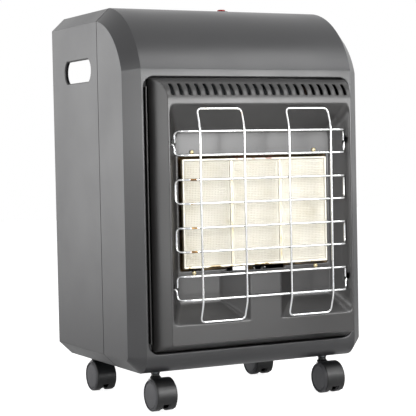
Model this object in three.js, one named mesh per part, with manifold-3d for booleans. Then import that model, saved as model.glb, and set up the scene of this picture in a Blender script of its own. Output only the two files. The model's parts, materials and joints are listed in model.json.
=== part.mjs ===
// Portable gas cabinet heater: a chamfered sheet-metal cabinet on four twin-wheel castors, with a
// pressed front panel, three ceramic plaque burners behind a wire guard, and a bottle bay at the back.
// Millimetres. X is to the right seen from the front, Y to the back, Z up. The origin is on the floor,
// under the middle of the heater.

import * as THREE from 'three';
import { mergeVertices } from 'three/addons/utils/BufferGeometryUtils.js';
import { ConvexGeometry } from 'three/addons/geometries/ConvexGeometry.js';
import Module from 'manifold-3d';

const wasm = await Module();
wasm.setup();

// ---------------------------------------------------------------- driving dimensions

const fit = 0.3; // clearance between pieces that touch
const running = 0.5; // clearance of pieces that turn or slide
const past = 1; // how far a cutter runs past what it cuts
const through = 12; // the same on each side of the panel's back wall

// cabinet
const bodyWidth = 410;
const bodyDepth = 298;
const bodyHeight = 554;
const chamferAcross = 22; // of every long edge, measured along X
const chamferIn = 21; // the same chamfer, measured along Y or Z
const archBase = 454; // height where the front starts to curve back into the top
const archDepth = 111;
const archRadius = 135; // its arc meets the flats at a slight crease below and above
const bottomRoll = 28; // radius under the front edge
const sheet = 1.5;
const seamPlace = 111; // where the front casing meets the rear cover
const seamGap = 1.6;
const lap = 12; // how far the rear cover's joggled edge reaches into the front casing
const bottomLip = 15; // what is left of the casing's bottom along each side
const bottomFront = 30; // depth of the casing's bottom behind its front edge

// opening in the front casing
const mouthHalf = 178.5;
const mouthLow = 31;
const mouthHigh = 442.5;
const mouthCorner = 16;
const mouthReturn = 8; // depth of the edge folded back round the opening

// hand holes in the rear cover
const handHoleLength = 106;
const handHoleHeight = 34.6;
const handHoleY = 191.3;
const handHoleZ = 460.7;
const handHoleReturn = 6;
const handHoleEndRadius = 20;
const handHoleSteps = 6;

// back of the rear cover and the drop-down rear panel
const rearFlange = 18;
const rearPanelLow = 22;
const rearPanelHigh = 400;
const rearPanelLap = 8; // how far the panel covers the flange at each side
const rearPanelSheet = 1.2;
const ventCount = 6;
const ventLength = 70;
const ventHeight = 5;
const ventPitch = 15;
const ventOffsetX = 85;
const ventGroups = [60, 270]; // height of the lowest vent in each group
const pivotInset = 85; // from the side of the cabinet to the middle of each pivot
const pivotPinRadius = 2;
const pivotBarrelRadius = 4;
const pivotBarrelLength = 24;
const pivotEarWidth = 5;
const panelNotchRise = 1.5; // room over each ear, for the panel to swing

// front panel
const panelProud = 37.5; // how far its flat stands in front of the casing
const panelHalf = 158.5;
const panelFlare = 10; // how much wider each side is where it meets the casing plane
const panelFlatTop = 407.5;
const panelTop = 440.5;
const panelArchDepth = 42.5;
const panelFlatBottom = 46;
const panelBottom = 34; // at the casing plane
const panelCorner = 12;
const flangeWide = 15.5; // beyond the panel's foot at each side
const flangeHalf = panelHalf + panelFlare + flangeWide;
const flangeLow = 24.5;
const flangeHigh = 448.5;
const lipInner = 173.8; // thin strip that shows in the gap at each side
const lipWidth = 1.7;
const lipLow = 46;
const lipHigh = 428;
const lipFront = 0.6;

// heat outlet slots along the top of the front panel
const slotCount = 22;
const slotPitch = 14.17;
const slotWidth = 5.6;
const slotStartAngle = THREE.MathUtils.degToRad(11);
const slotEndAngle = THREE.MathUtils.degToRad(48);

// recess of the front panel
const recessMouthHalf = 155.6;
const recessMouthLow = 75.5;
const recessMouthHigh = 400.6;
const recessBackHalf = 134;
const recessBackLow = 105;
const recessBackHigh = 360.5;
const recessBackY = -8;
const recessCorner = 9;
const mouthOvershoot = 0.1; // share of its depth by which the recess's cutter runs past its mouth
const columnFrontHalf = 27.5;
const columnBackHalf = 62;
const columnFrontTop = 146;
const columnBackTop = 147.5;

// burners and ceramic plaques
const plaqueWidth = 80;
const plaqueHeight = 158;
const plaqueThick = 13;
const plaqueGap = 4.65;
const plaqueCount = 3;
const burnerLow = 159; // underside of the plaques
const plaqueFrontY = -13.2;
const burnerSheet = 1;
const burnerDepth = 33;
const frameLip = 3;
const frameBarHalf = 2.6; // of the bars that cover the gaps between plaques
const frameSheet = 0.9;
const frameRise = 2.2; // from the plaques' edges to the frame's inside, top and bottom
const frameBack = 20; // depth of the frame's side walls
const frameFlangeWide = 10;
const frameFlangeTall = 17;
const windowGap = 3;
const pilotNotchHalf = 50;
const pilotNotchLow = 149;
const mixerRadius = 9;
const mixerWall = 1;
const mixerBell = 13;
const mixerY = 22;
const mixerLow = 100;

// gas rail and injectors
const railRadius = 6;
const railZ = 84;
const railHalf = 100;
const railBossHeight = 9;
const railFootX = 60;
const railFootHalf = 9;
const railFootLap = 14; // how far each foot reaches over the tray
const railBossWall = 1;
const injectorRadius = 4;
const injectorHeight = 11;
const injectorBore = 0.7;
const injectorNose = 4.4; // height of the tapered end
const injectorNoseRadius = 2;
const injectorFloor = 2;

// screws that hold the burner frame
const screwX = 106.5;
const screwLow = 149.2;
const screwHigh = 330;
const screwHeadRadius = 3.6;
const screwHeadHeight = 2.4;
const screwShoulderRadius = 3.06; // the head is domed from its shoulder to its crown
const screwShoulderHeight = 1.68;
const screwCrownRadius = 1.62;
const screwShank = 1.7;
const screwLength = 9;

// wire guard
const wireRadius = 1.7;
const wireWeld = 0.5; // how far crossing wires sink into each other at a weld
const guardFrontY = -49.8; // centre line of the upright loops
const loopCount = 4;
const loopPitch = 71;
const lowestLoopZ = 130.2;
const loopHeight = 35;
const loopBendX = 137;
const loopEndX = 146.3;
const loopEndY = -32;
const stapleGap = 1.8; // from the middle of an outer loop up to the cut ends of its upper wire
const hookTipX = 153;
const hookTipY = -28;
const hookElbowX = 147.6;
const hookDrop = 1.8; // from the middle of the loop down to the hooks of its lower wire
const hookHoleHeight = 10;
const hookHoleWidth = 7;
const hookHoleInner = 1; // the hole's cutter starts this far inside the loops' ends
const hookHoleOuter = 3; // and runs this far past the hooks' tips
const uprightInner = 38.7;
const uprightOuter = 112.8;
const uprightLow = 78.5;
const uprightHigh = 394;
const uprightKneeLow = 107;
const uprightKneeHigh = 366;
const uprightTipY = -40;
const wireCorner = 8;
const wireSides = 6;

// heat shield and its valve shelf
const shieldY = 52;
const shieldSheet = 1.2;
const shieldFootInset = 29; // from the side of the cabinet
const shieldKink = 30;
const shelfDrop = 86; // from the top of the cabinet
const shelfZ = bodyHeight - shelfDrop;
const shelfBackY = 205;
const shelfLeft = -60;
const shelfRight = 160;

// base tray
const trayInset = 25; // from the side of the cabinet
const trayFrontY = 34;
const trayBackInset = 5; // from the back of the cabinet
const trayRim = 14;
const padRoom = 11; // from the castors' axes to the raised platform that the bottle stands on
const padFrontY = 75;
const padBackY = 282;
const padRise = 3;

// controls on the top of the rear cover
const controlLeft = -4;
const controlRight = 150;
const controlFrontY = 128;
const controlBackY = 206;
const controlCorner = 10;
const controlRim = 1; // thickness of the rim that lies on the cover
const controlRimLap = 5;
const controlWall = 2;
const knobX = 95;
const knobY = 166;
const knobWellRadius = 33;
const knobWellDepth = 22;
const knobRadius = 21;
const knobHeight = 17;
const knobGripHalf = 4;
const knobPress = 3;
const knobFloorGap = 1; // left under the knob when it is pressed
const knobSkirtHeight = 6.8;
const knobEdge = 1.5; // bevel round the skirt
const knobGripInset = 2; // from the skirt's edge to each end of the grip
const knobGripCorner = 3.5;
const knobCrown = 6; // solid part over the spindle
const spindleRadius = 4;
const igniterX = 28;
const igniterY = 141;
const igniterRadius = 9;
const igniterBezelRadius = 12;
const igniterBezelHeight = 1.2;
const igniterLength = 52;
const igniterNutHeight = 4;
const buttonRadius = 6.5;
const buttonEdge = 1; // bevel round its top
const buttonProud = 3.4;
const buttonTravel = 2.8;
const buttonLength = 16;

// gas valve and pipes
const valveLow = shelfZ + fit;
const valveHalfX = 16;
const valveHalfY = 18;
const valveHeight = 40;
const plungerRadius = 6.5;
const plungerHeight = 6;
const hoseTailLength = 34;
const hoseTailRadius = 5;
const hoseTailRibs = 3;
const hoseTailPitch = 6.8; // of its ribs
const hoseTailShoulder = 2.5; // how far the shoulder stands out
const hoseTailGroove = 1; // depth of the grooves between ribs
const hoseTailCrest = 3; // from the start of a rib to its crest
const hoseTailBore = 2;
const hoseTailFloor = 3;
const inletRise = 17;
const inletLength = 6;
const pipeRadius = 3.5;
const pilotPipeRadius = 2;
const leadRadius = 1.5;
const outletRise = 12; // of the valve's outlets above its underside
const outletLength = 7;
const outletSpacing = 11;
const outletWall = 1.5; // how much wider than its pipe each outlet is
const riserY = 39; // pipes and leads run down between the burners and the heat shield
const leadY = 46.5;
const leadCorner = 6;
const leadSlant = 60;
const feedShift = 27;
const pilotPipeX = 138;
const pilotPipeZ = 114;
const probeLeadX = 130;
const probeLeadZ = 124;
const sparkLeadX = -137;
const sparkLeadZ = 104;
const sparkCrossX = -20;

// pilot under the middle burner
const pilotBracketHalf = 56;
const pilotBracketRise = 6;
const pilotShelfLeft = -42;
const pilotShelfRight = 26;
const pilotShelfBackY = 11;
const pilotShelfZ = 142;
const pilotY = 4;
const pilotX = -32;
const pilotRadius = 4;
const pilotTail = 8; // how far the pilot pieces reach under their shelf
const pilotHeadFrontY = -11;
const pilotHeadHeight = 6;
const electrodeX = 4;
const electrodeRadius = 2.6;
const thermocoupleX = 17;
const probeRadius = 2.4;
const pilotHeadLeft = 10; // from the pilot's stem to the ends of its head
const pilotHeadRight = 12;
const pilotHeadWall = 1.5;
const pilotMouthDepth = 9;
const pilotMouthWidth = 4.5;
const sleeveRise = 5; // of the ceramic sleeves above their shelf
const sleeveTaper = 2;
const electrodeTipRadius = 1.2;
const electrodeTipAside = 9; // how far the tip bends towards the pilot
const probeTipRadius = 1.8;
const probeTipAside = 3;
const probeReach = 14.5; // how far both tips lean forward
const probeTipRise = 10; // of both tips above the shelf
const probeCorner = 3;
const probeStep = 0.2; // the needle is this much thinner than the sleeve's end

// castors
const floorGap = 59; // from the floor to the underside of the cabinet
const castorInset = 56; // from the side of the cabinet to the stem
const castorFrontY = 45;
const castorRearInset = 25; // from the back of the cabinet to the stem
const castorTrail = 17;
const wheelRadius = 24;
const wheelWidth = 12;
const wheelRim = 3;
const wheelFace = 2.5;
const wheelHub = 7;
const wheelEdge = 1.5;
const wheelSpread = 36; // over the outer faces of the pair
const axleRadius = 3;
const axleDepth = 3; // cover left over the end of the axle
const hoodRadius = 26;
const hoodWall = 1.3;
const hoodHalf = 16.3;
const hoodWebHalf = 5.6;
const hoodNeckRadius = 6.3;
const hoodNeckDepth = 6; // how far the neck sinks into the hood
const hoodBossFloor = 7; // left under the end of the stem
const hoodNeckTop = -4.5; // below the underside of the cabinet
const hoodFrontAngle = THREE.MathUtils.degToRad(-48);
const hoodBackAngle = THREE.MathUtils.degToRad(112);
const hoodNotchHalf = 5.9;
const hoodNotchHeight = 12; // above the floor
const stemRadius = 4;
const stemCollarRadius = 9;
const stemCollarHeight = 2;
const stemAbove = 9;
const stemBelow = 36;

const roundSteps = 3; // segments of a small quarter round
const cornerShare = 0.45; // of a straight leg that one rounded corner may take
const shortestStraight = 0.01; // left between two arcs
const nearlyNothing = 0.001; // a direction shorter than this is none
const archSteps = 5;
const hexSides = 6;
const leadSides = 6;
const pipeSides = 8;
const smallSides = 12; // of small turned pieces and holes
const rodSides = 16;
const plugSides = 20;
const knobSides = 24;
const wellSides = 28;
const wheelSegments = 18;

// ---------------------------------------------------------------- sizes worked out from those above

const halfWidth = bodyWidth / 2;
const pivotX = halfWidth - pivotInset;
const shieldFootHalf = halfWidth - shieldFootInset;
const shieldHalf = halfWidth - sheet - fit;
const trayHalf = halfWidth - trayInset;
const trayBackY = bodyDepth - trayBackInset;
const castorX = halfWidth - castorInset;
const padHalf = castorX - padRoom;
const castorRearY = bodyDepth - castorRearInset;
const guardCrossY = guardFrontY + 2 * wireRadius - wireWeld;
const plaquePitch = plaqueWidth + plaqueGap;
const plaqueBackY = plaqueFrontY + plaqueThick;
const burnerHigh = burnerLow + plaqueHeight;
const burnerHalf = ((plaqueCount - 1) * plaquePitch + plaqueWidth) / 2;
const frameInner = burnerHalf + fit;
const frameOuter = frameInner + frameSheet;
const frameLow = burnerLow - frameRise - frameSheet;
const frameHigh = burnerHigh + frameRise + frameSheet;
const frameFrontY = plaqueFrontY - fit - frameSheet;
const frameFlangeY = recessBackY + sheet + fit;
const burnerFrontY = plaqueBackY + fit;
const trayZ = sheet + fit;
const trayTop = trayZ + sheet;
const rearPanelY = bodyDepth + fit;
const pivotY = rearPanelY + pivotBarrelRadius;
const guardFace = guardFrontY - wireRadius;
const rearFace = pivotY + pivotBarrelRadius;
const depthCentre = (guardFace + rearFace) / 2;
const wheelCentreZ = wheelRadius - floorGap;
const wheelInner = wheelSpread / 2 - wheelWidth;
const topOfRim = bodyHeight + fit + controlRim;
const knobWellFloor = topOfRim - knobWellDepth;
const outletZ = valveLow + outletRise;
const outletFaceY = knobY - valveHalfY - outletLength - fit;
const inletZ = valveLow + inletRise;
const pilotTailZ = pilotShelfZ - shieldSheet - pilotTail;

// ---------------------------------------------------------------- materials

function paint(color, roughness, metalness) {
  return new THREE.MeshStandardMaterial({ color, roughness, metalness });
}

const coat = paint(0x6f6f72, 0.5, 0.35); // powder-coated casing
const panelCoat = paint(0x77777a, 0.48, 0.35);
const zinc = paint(0xb9bcc0, 0.38, 0.9);
const burnerSteel = paint(0xd9d5c8, 0.4, 0.8);
const ceramic = paint(0xf3efe0, 0.9, 0);
const chromeWire = paint(0xe8e8e6, 0.2, 1);
const brass = paint(0xc9ad62, 0.35, 0.9);
const copper = paint(0xb5714a, 0.4, 0.9);
const blackPlastic = paint(0x1b1b1d, 0.45, 0);
const greyPlastic = paint(0x59585c, 0.55, 0);
const redPlastic = paint(0xb3372f, 0.4, 0);
const whiteCeramic = paint(0xf4f4f0, 0.5, 0);
const rubberLead = paint(0x8d2f27, 0.6, 0);

// ---------------------------------------------------------------- making and joining solids

// A closed geometry as a solid that can be joined and cut.
function solid(geometry) {
  const bare = geometry.clone();
  for (const name of Object.keys(bare.attributes)) {
    if (name !== 'position') bare.deleteAttribute(name);
  }
  const merged = mergeVertices(bare);
  const corners = merged.index.array;
  const kept = [];
  for (let i = 0; i < corners.length; i += 3) {
    const [a, b, c] = corners.slice(i, i + 3);
    if (a !== b && b !== c && c !== a) kept.push(a, b, c);
  }
  const vertProperties = new Float32Array(merged.attributes.position.array);
  return new wasm.Manifold(new wasm.Mesh({ numProp: 3, vertProperties, triVerts: new Uint32Array(kept) }));
}

// A solid as a geometry that a mesh can show.
function surface(body) {
  const mesh = body.getMesh();
  const geometry = new THREE.BufferGeometry();
  geometry.setAttribute('position', new THREE.BufferAttribute(new Float32Array(mesh.vertProperties), 3));
  geometry.setIndex(new THREE.BufferAttribute(new Uint32Array(mesh.triVerts), 1));
  geometry.computeVertexNormals();
  return geometry;
}

function joined(...bodies) {
  return bodies.reduce((all, body) => all.add(body));
}

function cut(body, ...tools) {
  return tools.reduce((rest, tool) => rest.subtract(tool), body);
}

function block(x0, x1, y0, y1, z0, z1) {
  const box = new THREE.BoxGeometry(x1 - x0, y1 - y0, z1 - z0);
  return solid(box.translate((x0 + x1) / 2, (y0 + y1) / 2, (z0 + z1) / 2));
}

// A round rod along an axis ('x', 'y' or 'z'), centred on the two other coordinates.
function rod(axis, radius, from, to, centre, segments = rodSides) {
  const cylinder = new THREE.CylinderGeometry(radius, radius, to - from, segments);
  const middle = (from + to) / 2;
  if (axis === 'x') cylinder.rotateZ(-Math.PI / 2).translate(middle, centre[0], centre[1]);
  if (axis === 'y') cylinder.translate(centre[0], middle, centre[1]);
  if (axis === 'z') cylinder.rotateX(Math.PI / 2).translate(centre[0], centre[1], middle);
  return solid(cylinder);
}

// A turned piece about Z: the profile holds [radius, height] pairs that start and end on the axis.
function turned(profile, segments) {
  const points = profile.map(([radius, height]) => new THREE.Vector2(radius, height));
  return solid(new THREE.LatheGeometry(points, segments).rotateX(Math.PI / 2));
}

function outline(points) {
  return new THREE.Shape(points.map(([u, v]) => new THREE.Vector2(u, v)));
}

function roundedOutline(u0, u1, v0, v1, corner) {
  const shape = new THREE.Shape();
  shape.moveTo(u0 + corner, v0);
  shape.lineTo(u1 - corner, v0).absarc(u1 - corner, v0 + corner, corner, -Math.PI / 2, 0);
  shape.lineTo(u1, v1 - corner).absarc(u1 - corner, v1 - corner, corner, 0, Math.PI / 2);
  shape.lineTo(u0 + corner, v1).absarc(u0 + corner, v1 - corner, corner, Math.PI / 2, Math.PI);
  shape.lineTo(u0, v0 + corner).absarc(u0 + corner, v0 + corner, corner, Math.PI, 1.5 * Math.PI);
  return shape;
}

function drawnOut(shape, length, steps = roundSteps) {
  return new THREE.ExtrudeGeometry(shape, { depth: length, bevelEnabled: false, curveSegments: steps });
}

// Outlines drawn in (y, z) and carried along X, in (x, z) along Y, or in (x, y) along Z.
function alongX(shape, x0, x1, steps) {
  const basis = new THREE.Matrix4().makeBasis(
    new THREE.Vector3(0, 1, 0),
    new THREE.Vector3(0, 0, 1),
    new THREE.Vector3(1, 0, 0),
  );
  return solid(drawnOut(shape, x1 - x0, steps).applyMatrix4(basis).translate(x0, 0, 0));
}

function alongY(shape, y0, y1, steps) {
  return solid(drawnOut(shape, y1 - y0, steps).rotateX(Math.PI / 2).translate(0, y1, 0));
}

function alongZ(shape, z0, z1, steps) {
  return solid(drawnOut(shape, z1 - z0, steps).translate(0, 0, z0));
}

function hull(points) {
  return solid(new ConvexGeometry(points));
}

// A route through corner points, each corner rounded by a curve that starts `radius` before it.
function route(corners, radius, steps, closed = false) {
  const points = [];
  const count = corners.length;
  corners.forEach((corner, i) => {
    if (!closed && (i === 0 || i === count - 1)) {
      points.push(corner);
      return;
    }
    const before = corners[(i + count - 1) % count];
    const after = corners[(i + 1) % count];
    const reach = (other) => Math.min(radius, corner.distanceTo(other) * cornerShare);
    const start = corner.clone().lerp(before, reach(before) / corner.distanceTo(before));
    const end = corner.clone().lerp(after, reach(after) / corner.distanceTo(after));
    points.push(...new THREE.QuadraticBezierCurve3(start, corner, end).getPoints(steps));
  });
  return points;
}

// A round tube through the points: the section is carried along without twist, and mitred at each point.
function tube(points, radius, sides, closed = false) {
  const count = points.length;
  const leg = (i) => {
    const from = points[(i + count) % count];
    return points[(i + 1 + count) % count].clone().sub(from).normalize();
  };
  const positions = [];
  let across = new THREE.Vector3(0, 0, 1).cross(leg(0));
  if (across.length() < nearlyNothing) across = new THREE.Vector3(1, 0, 0).cross(leg(0));
  for (let i = 0; i < count; i += 1) {
    const inward = closed || i > 0 ? leg(i - 1) : leg(0);
    const onward = closed || i < count - 1 ? leg(i) : inward;
    const tangent = inward.clone().add(onward).normalize();
    across = across.addScaledVector(tangent, -across.dot(tangent)).normalize();
    const up = tangent.clone().cross(across);
    const bend = onward.clone().sub(inward);
    const stretch = bend.length() > nearlyNothing ** 2 ? 1 / tangent.dot(onward) - 1 : 0;
    bend.normalize();
    for (let k = 0; k < sides; k += 1) {
      const turn = (2 * Math.PI * k) / sides;
      const arm = across.clone().multiplyScalar(Math.cos(turn) * radius);
      arm.addScaledVector(up, Math.sin(turn) * radius);
      arm.addScaledVector(bend, arm.dot(bend) * stretch);
      positions.push(...arm.add(points[i]).toArray());
    }
  }
  // where a closed tube comes round, its last ring meets the first one at the nearest corner
  let shift = 0;
  if (closed) {
    const last = new THREE.Vector3().fromArray(positions, (count - 1) * sides * 3);
    let nearest = Infinity;
    for (let k = 0; k < sides; k += 1) {
      const gap = new THREE.Vector3().fromArray(positions, k * 3).sub(last);
      gap.addScaledVector(leg(count - 1), -gap.dot(leg(count - 1)));
      if (gap.length() < nearest) {
        nearest = gap.length();
        shift = k;
      }
    }
  }
  const index = [];
  for (let i = 0; i < (closed ? count : count - 1); i += 1) {
    const wraps = i === count - 1;
    for (let k = 0; k < sides; k += 1) {
      const a = i * sides + k;
      const b = i * sides + ((k + 1) % sides);
      const offset = wraps ? shift : 0;
      const next = wraps ? 0 : i + 1;
      const c = next * sides + ((k + offset) % sides);
      const d = next * sides + ((k + 1 + offset) % sides);
      index.push(a, b, d, a, d, c);
    }
  }
  if (!closed) {
    for (let k = 1; k < sides - 1; k += 1) {
      const end = (count - 1) * sides;
      index.push(0, k + 1, k, end, end + k, end + k + 1);
    }
  }
  const geometry = new THREE.BufferGeometry();
  geometry.setAttribute('position', new THREE.Float32BufferAttribute(positions, 3));
  geometry.setIndex(index);
  return solid(geometry);
}

const at = (x, y, z) => new THREE.Vector3(x, y, z);

// ---------------------------------------------------------------- scene graph

const heater = new THREE.Group();
const cabinet = new THREE.Group();
cabinet.position.set(0, -depthCentre, floorGap);
heater.add(cabinet);

function place(name, body, material, group = cabinet) {
  const mesh = new THREE.Mesh(surface(body), material);
  mesh.name = name;
  group.add(mesh);
  return mesh;
}

// ---------------------------------------------------------------- cabinet shells

// The arc over the front passes through the top of the flat front and the start of the flat top.
function archCentre() {
  const rise = bodyHeight - archBase;
  const chord = Math.hypot(archDepth, rise);
  const away = Math.sqrt(archRadius ** 2 - chord ** 2 / 4) / chord;
  return [archDepth / 2 + rise * away, archBase + rise / 2 - archDepth * away];
}

// Side view of the cabinet, moved in by `inset`; it runs on behind the cabinet, to be cut there.
function cabinetProfile(inset) {
  const behind = bodyDepth + 3 * chamferIn;
  const shape = new THREE.Shape();
  shape.moveTo(behind, inset);
  shape.lineTo(bottomRoll, inset);
  shape.absarc(bottomRoll, bottomRoll, bottomRoll - inset, -Math.PI / 2, -Math.PI, true);
  const [centreY, centreZ] = archCentre();
  const radius = archRadius - inset;
  const lower = Math.acos((inset - centreY) / radius);
  const upper = Math.asin((bodyHeight - inset - centreZ) / radius);
  shape.absarc(centreY, centreZ, radius, lower, Math.PI - upper, true);
  shape.lineTo(behind, bodyHeight - inset);
  return shape;
}

// The whole cabinet as a block: the side view carried across, with both sides chamfered all round.
function cabinetBlock(inset) {
  const flat = bodyWidth - 2 * chamferAcross - 2 * inset;
  const geometry = new THREE.ExtrudeGeometry(cabinetProfile(inset), {
    depth: flat,
    curveSegments: archSteps,
    bevelEnabled: true,
    bevelSegments: 1,
    bevelThickness: chamferAcross,
    bevelSize: chamferIn,
    bevelOffset: -chamferIn,
  });
  const basis = new THREE.Matrix4().makeBasis(at(0, 1, 0), at(0, 0, 1), at(1, 0, 0));
  return solid(geometry.applyMatrix4(basis).translate(-flat / 2, 0, 0));
}

function slice(body, y0, y1) {
  const reach = bodyHeight;
  return body.intersect(block(-reach, reach, y0, y1, -reach, 2 * reach));
}

// The bottom of the cabinet is open between two lips, which carry the tray.
function bottomOpening(y0, y1) {
  const half = halfWidth - chamferAcross - bottomLip;
  return block(-half, half, y0, y1, -sheet, 2 * sheet);
}

function frontCasing() {
  const shell = cut(cabinetBlock(0), cabinetBlock(sheet));
  const front = slice(shell, -sheet, seamPlace - seamGap / 2);
  const mouth = (grow) => {
    const half = mouthHalf + grow;
    return roundedOutline(-half, half, mouthLow - grow, mouthHigh + grow, mouthCorner + grow);
  };
  const fold = cut(alongY(mouth(sheet), 0, mouthReturn), alongY(mouth(0), -sheet, mouthReturn + sheet));
  const opened = cut(front, alongY(mouth(0), -sheet, 2 * sheet), bottomOpening(bottomFront, bodyDepth));
  return joined(opened, fold);
}

// Outline of a hand hole: flat above and below, with an arc at each end that bulges past the corners.
function handHole(grow) {
  const rise = handHoleHeight / 2 + grow;
  const radius = handHoleEndRadius + grow;
  const inset = handHoleLength / 2 + grow - radius;
  const swing = Math.asin(rise / radius);
  const shape = new THREE.Shape();
  shape.absarc(handHoleY + inset, handHoleZ, radius, -swing, swing);
  shape.absarc(handHoleY - inset, handHoleZ, radius, Math.PI - swing, Math.PI + swing);
  return shape;
}

function rearCover() {
  const shell = cut(cabinetBlock(0), cabinetBlock(sheet));
  const outer = slice(shell, seamPlace + seamGap / 2, bodyDepth);
  const inside = cut(cabinetBlock(sheet + fit), cabinetBlock(2 * sheet + fit));
  const overlap = cut(cabinetBlock(sheet - fit), cabinetBlock(2 * sheet));
  const bridge = slice(overlap, seamPlace + seamGap, seamPlace + lap);
  const trayClear = block(-trayHalf - past, trayHalf + past, 0, bodyDepth, sheet, trayTop + past);
  const joggle = cut(joined(slice(inside, seamPlace - lap, seamPlace + lap), bridge), trayClear);
  const backWall = slice(cabinetBlock(sheet / 2), bodyDepth - sheet, bodyDepth);
  const half = halfWidth - rearFlange;
  const open = roundedOutline(-half, half, rearFlange, bodyHeight - rearFlange, chamferAcross);
  const flange = cut(backWall, alongY(open, bodyDepth - 2 * sheet, bodyDepth + sheet));
  const body = joined(outer, joggle, flange);
  const folds = [-1, 1].map((side) => {
    const wall = (grow, depth) => {
      const inner = halfWidth - depth;
      return side > 0
        ? alongX(handHole(grow), inner, halfWidth, handHoleSteps)
        : alongX(handHole(grow), -halfWidth, -inner, handHoleSteps);
    };
    return cut(wall(sheet, handHoleReturn + sheet), wall(0, handHoleReturn + 3 * sheet));
  });
  const holes = alongX(handHole(0), -bodyWidth, bodyWidth, handHoleSteps);
  const control = roundedOutline(controlLeft, controlRight, controlFrontY, controlBackY, controlCorner);
  const controlHole = alongZ(control, bodyHeight - 3 * sheet, bodyHeight + sheet);
  const opened = cut(body, holes, controlHole, bottomOpening(-bodyDepth, bodyDepth - 2 * sheet));
  return joined(opened, ...folds, ...pivotEars());
}

// ---------------------------------------------------------------- rear panel and its pivots

const pivotSides = [
  ['left', -1],
  ['right', 1],
];

// Each pivot is a pin through one ear of the rear cover and one barrel of the panel.
function pivotEars() {
  return pivotSides.map(([, side]) => {
    const inner = pivotX + pivotBarrelLength / 2 + running;
    const [x0, x1] = side > 0 ? [inner, inner + pivotEarWidth] : [-inner - pivotEarWidth, -inner];
    const reach = pivotBarrelRadius;
    const low = rearFlange - sheet;
    const ear = block(x0, x1, bodyDepth - sheet, pivotY + reach, low, rearPanelLow + reach);
    return cut(ear, rod('x', pivotPinRadius + fit, x0 - past, x1 + past, [pivotY, rearPanelLow]));
  });
}

function pivotPin(side) {
  const length = pivotBarrelLength + pivotEarWidth + running;
  const start = side > 0 ? pivotX - pivotBarrelLength / 2 : -pivotX + pivotBarrelLength / 2 - length;
  return rod('x', pivotPinRadius, start, start + length, [pivotY, rearPanelLow]);
}

function rearPanel() {
  const half = halfWidth - rearFlange + rearPanelLap;
  const y0 = rearPanelY;
  const y1 = rearPanelY + rearPanelSheet;
  const low = rearPanelLow + running;
  const plate = alongY(roundedOutline(-half, half, low, rearPanelHigh, rearFlange), y0, y1);
  const vents = [];
  for (const base of ventGroups) {
    for (let row = 0; row < ventCount; row += 1) {
      for (const side of [-1, 1]) {
        const x = side * ventOffsetX;
        const z = base + row * ventPitch;
        vents.push(block(x - ventLength / 2, x + ventLength / 2, y0 - past, y1 + past, z, z + ventHeight));
      }
    }
  }
  const earClear = pivotEarWidth + 2 * running;
  const notches = pivotSides.map(([, side]) => {
    const inner = pivotX + pivotBarrelLength / 2;
    const [x0, x1] = side > 0 ? [inner, inner + earClear] : [-inner - earClear, -inner];
    return block(x0, x1, y0 - past, y1 + past, low - past, rearPanelLow + pivotBarrelRadius + panelNotchRise);
  });
  const barrels = pivotSides.map(([, side]) => {
    const x = side * pivotX;
    const [x0, x1] = [x - pivotBarrelLength / 2, x + pivotBarrelLength / 2];
    const barrel = rod('x', pivotBarrelRadius, x0, x1, [pivotY, rearPanelLow]);
    return cut(barrel, rod('x', pivotPinRadius + fit, x0 - past, x1 + past, [pivotY, rearPanelLow]));
  });
  return joined(cut(plate, ...vents, ...notches), ...barrels);
}

// ---------------------------------------------------------------- front panel

function panelBlock(inset) {
  const back = mouthReturn + fit + sheet + inset;
  const taper = panelFlare / panelProud;
  const slope = (panelFlatBottom - panelBottom) / panelProud;
  const side = new THREE.Shape();
  side.moveTo(back, panelBottom - slope * back + inset);
  side.lineTo(inset - panelProud, panelFlatBottom + inset);
  side.lineTo(inset - panelProud, panelFlatTop);
  const rise = panelTop - panelFlatTop;
  const centre = panelArchDepth - panelProud;
  side.absellipse(centre, panelFlatTop, panelArchDepth - inset, rise - inset, Math.PI, Math.PI / 2, true);
  side.lineTo(back, panelTop - inset);
  const wide = (y) => panelHalf - inset + taper * (y + panelProud);
  const plan = outline([
    [-wide(-panelProud), -panelProud],
    [wide(-panelProud), -panelProud],
    [wide(back), back],
    [-wide(back), back],
  ]);
  const half = wide(back);
  const low = panelBottom - slope * back + inset;
  const face = roundedOutline(-half, half, low, panelTop - inset, panelCorner);
  return alongX(side, -half - past, half + past, archSteps)
    .intersect(alongZ(plan, 0, bodyHeight))
    .intersect(alongY(face, -panelProud - past, back + past));
}

// Rounded rectangle of the recess at a depth: 0 at its mouth and 1 at its back wall.
function recessRing(depth, grow) {
  const mix = (mouth, back) => mouth + (back - mouth) * depth;
  const half = mix(recessMouthHalf, recessBackHalf) + grow;
  const low = mix(recessMouthLow, recessBackLow) - grow;
  const high = mix(recessMouthHigh, recessBackHigh) + grow;
  const y = mix(-panelProud, recessBackY);
  const shape = roundedOutline(-half, half, low, high, recessCorner);
  return shape.getPoints(roundSteps).map((point) => at(point.x, y, point.y));
}

function columnHull(inset, behind) {
  const depth = recessBackY + panelProud;
  const spread = (columnBackHalf - columnFrontHalf) / depth;
  const points = [];
  for (const y of [inset - panelProud, recessBackY + behind]) {
    const run = y + panelProud;
    const half = columnFrontHalf + spread * run - Math.hypot(1, spread) * inset;
    const top = columnFrontTop + ((columnBackTop - columnFrontTop) * run) / depth - inset;
    for (const x of [-half, half]) {
      points.push(at(x, y, top), at(x, y, panelFlatBottom + 2 * sheet));
    }
  }
  return hull(points);
}

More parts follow.
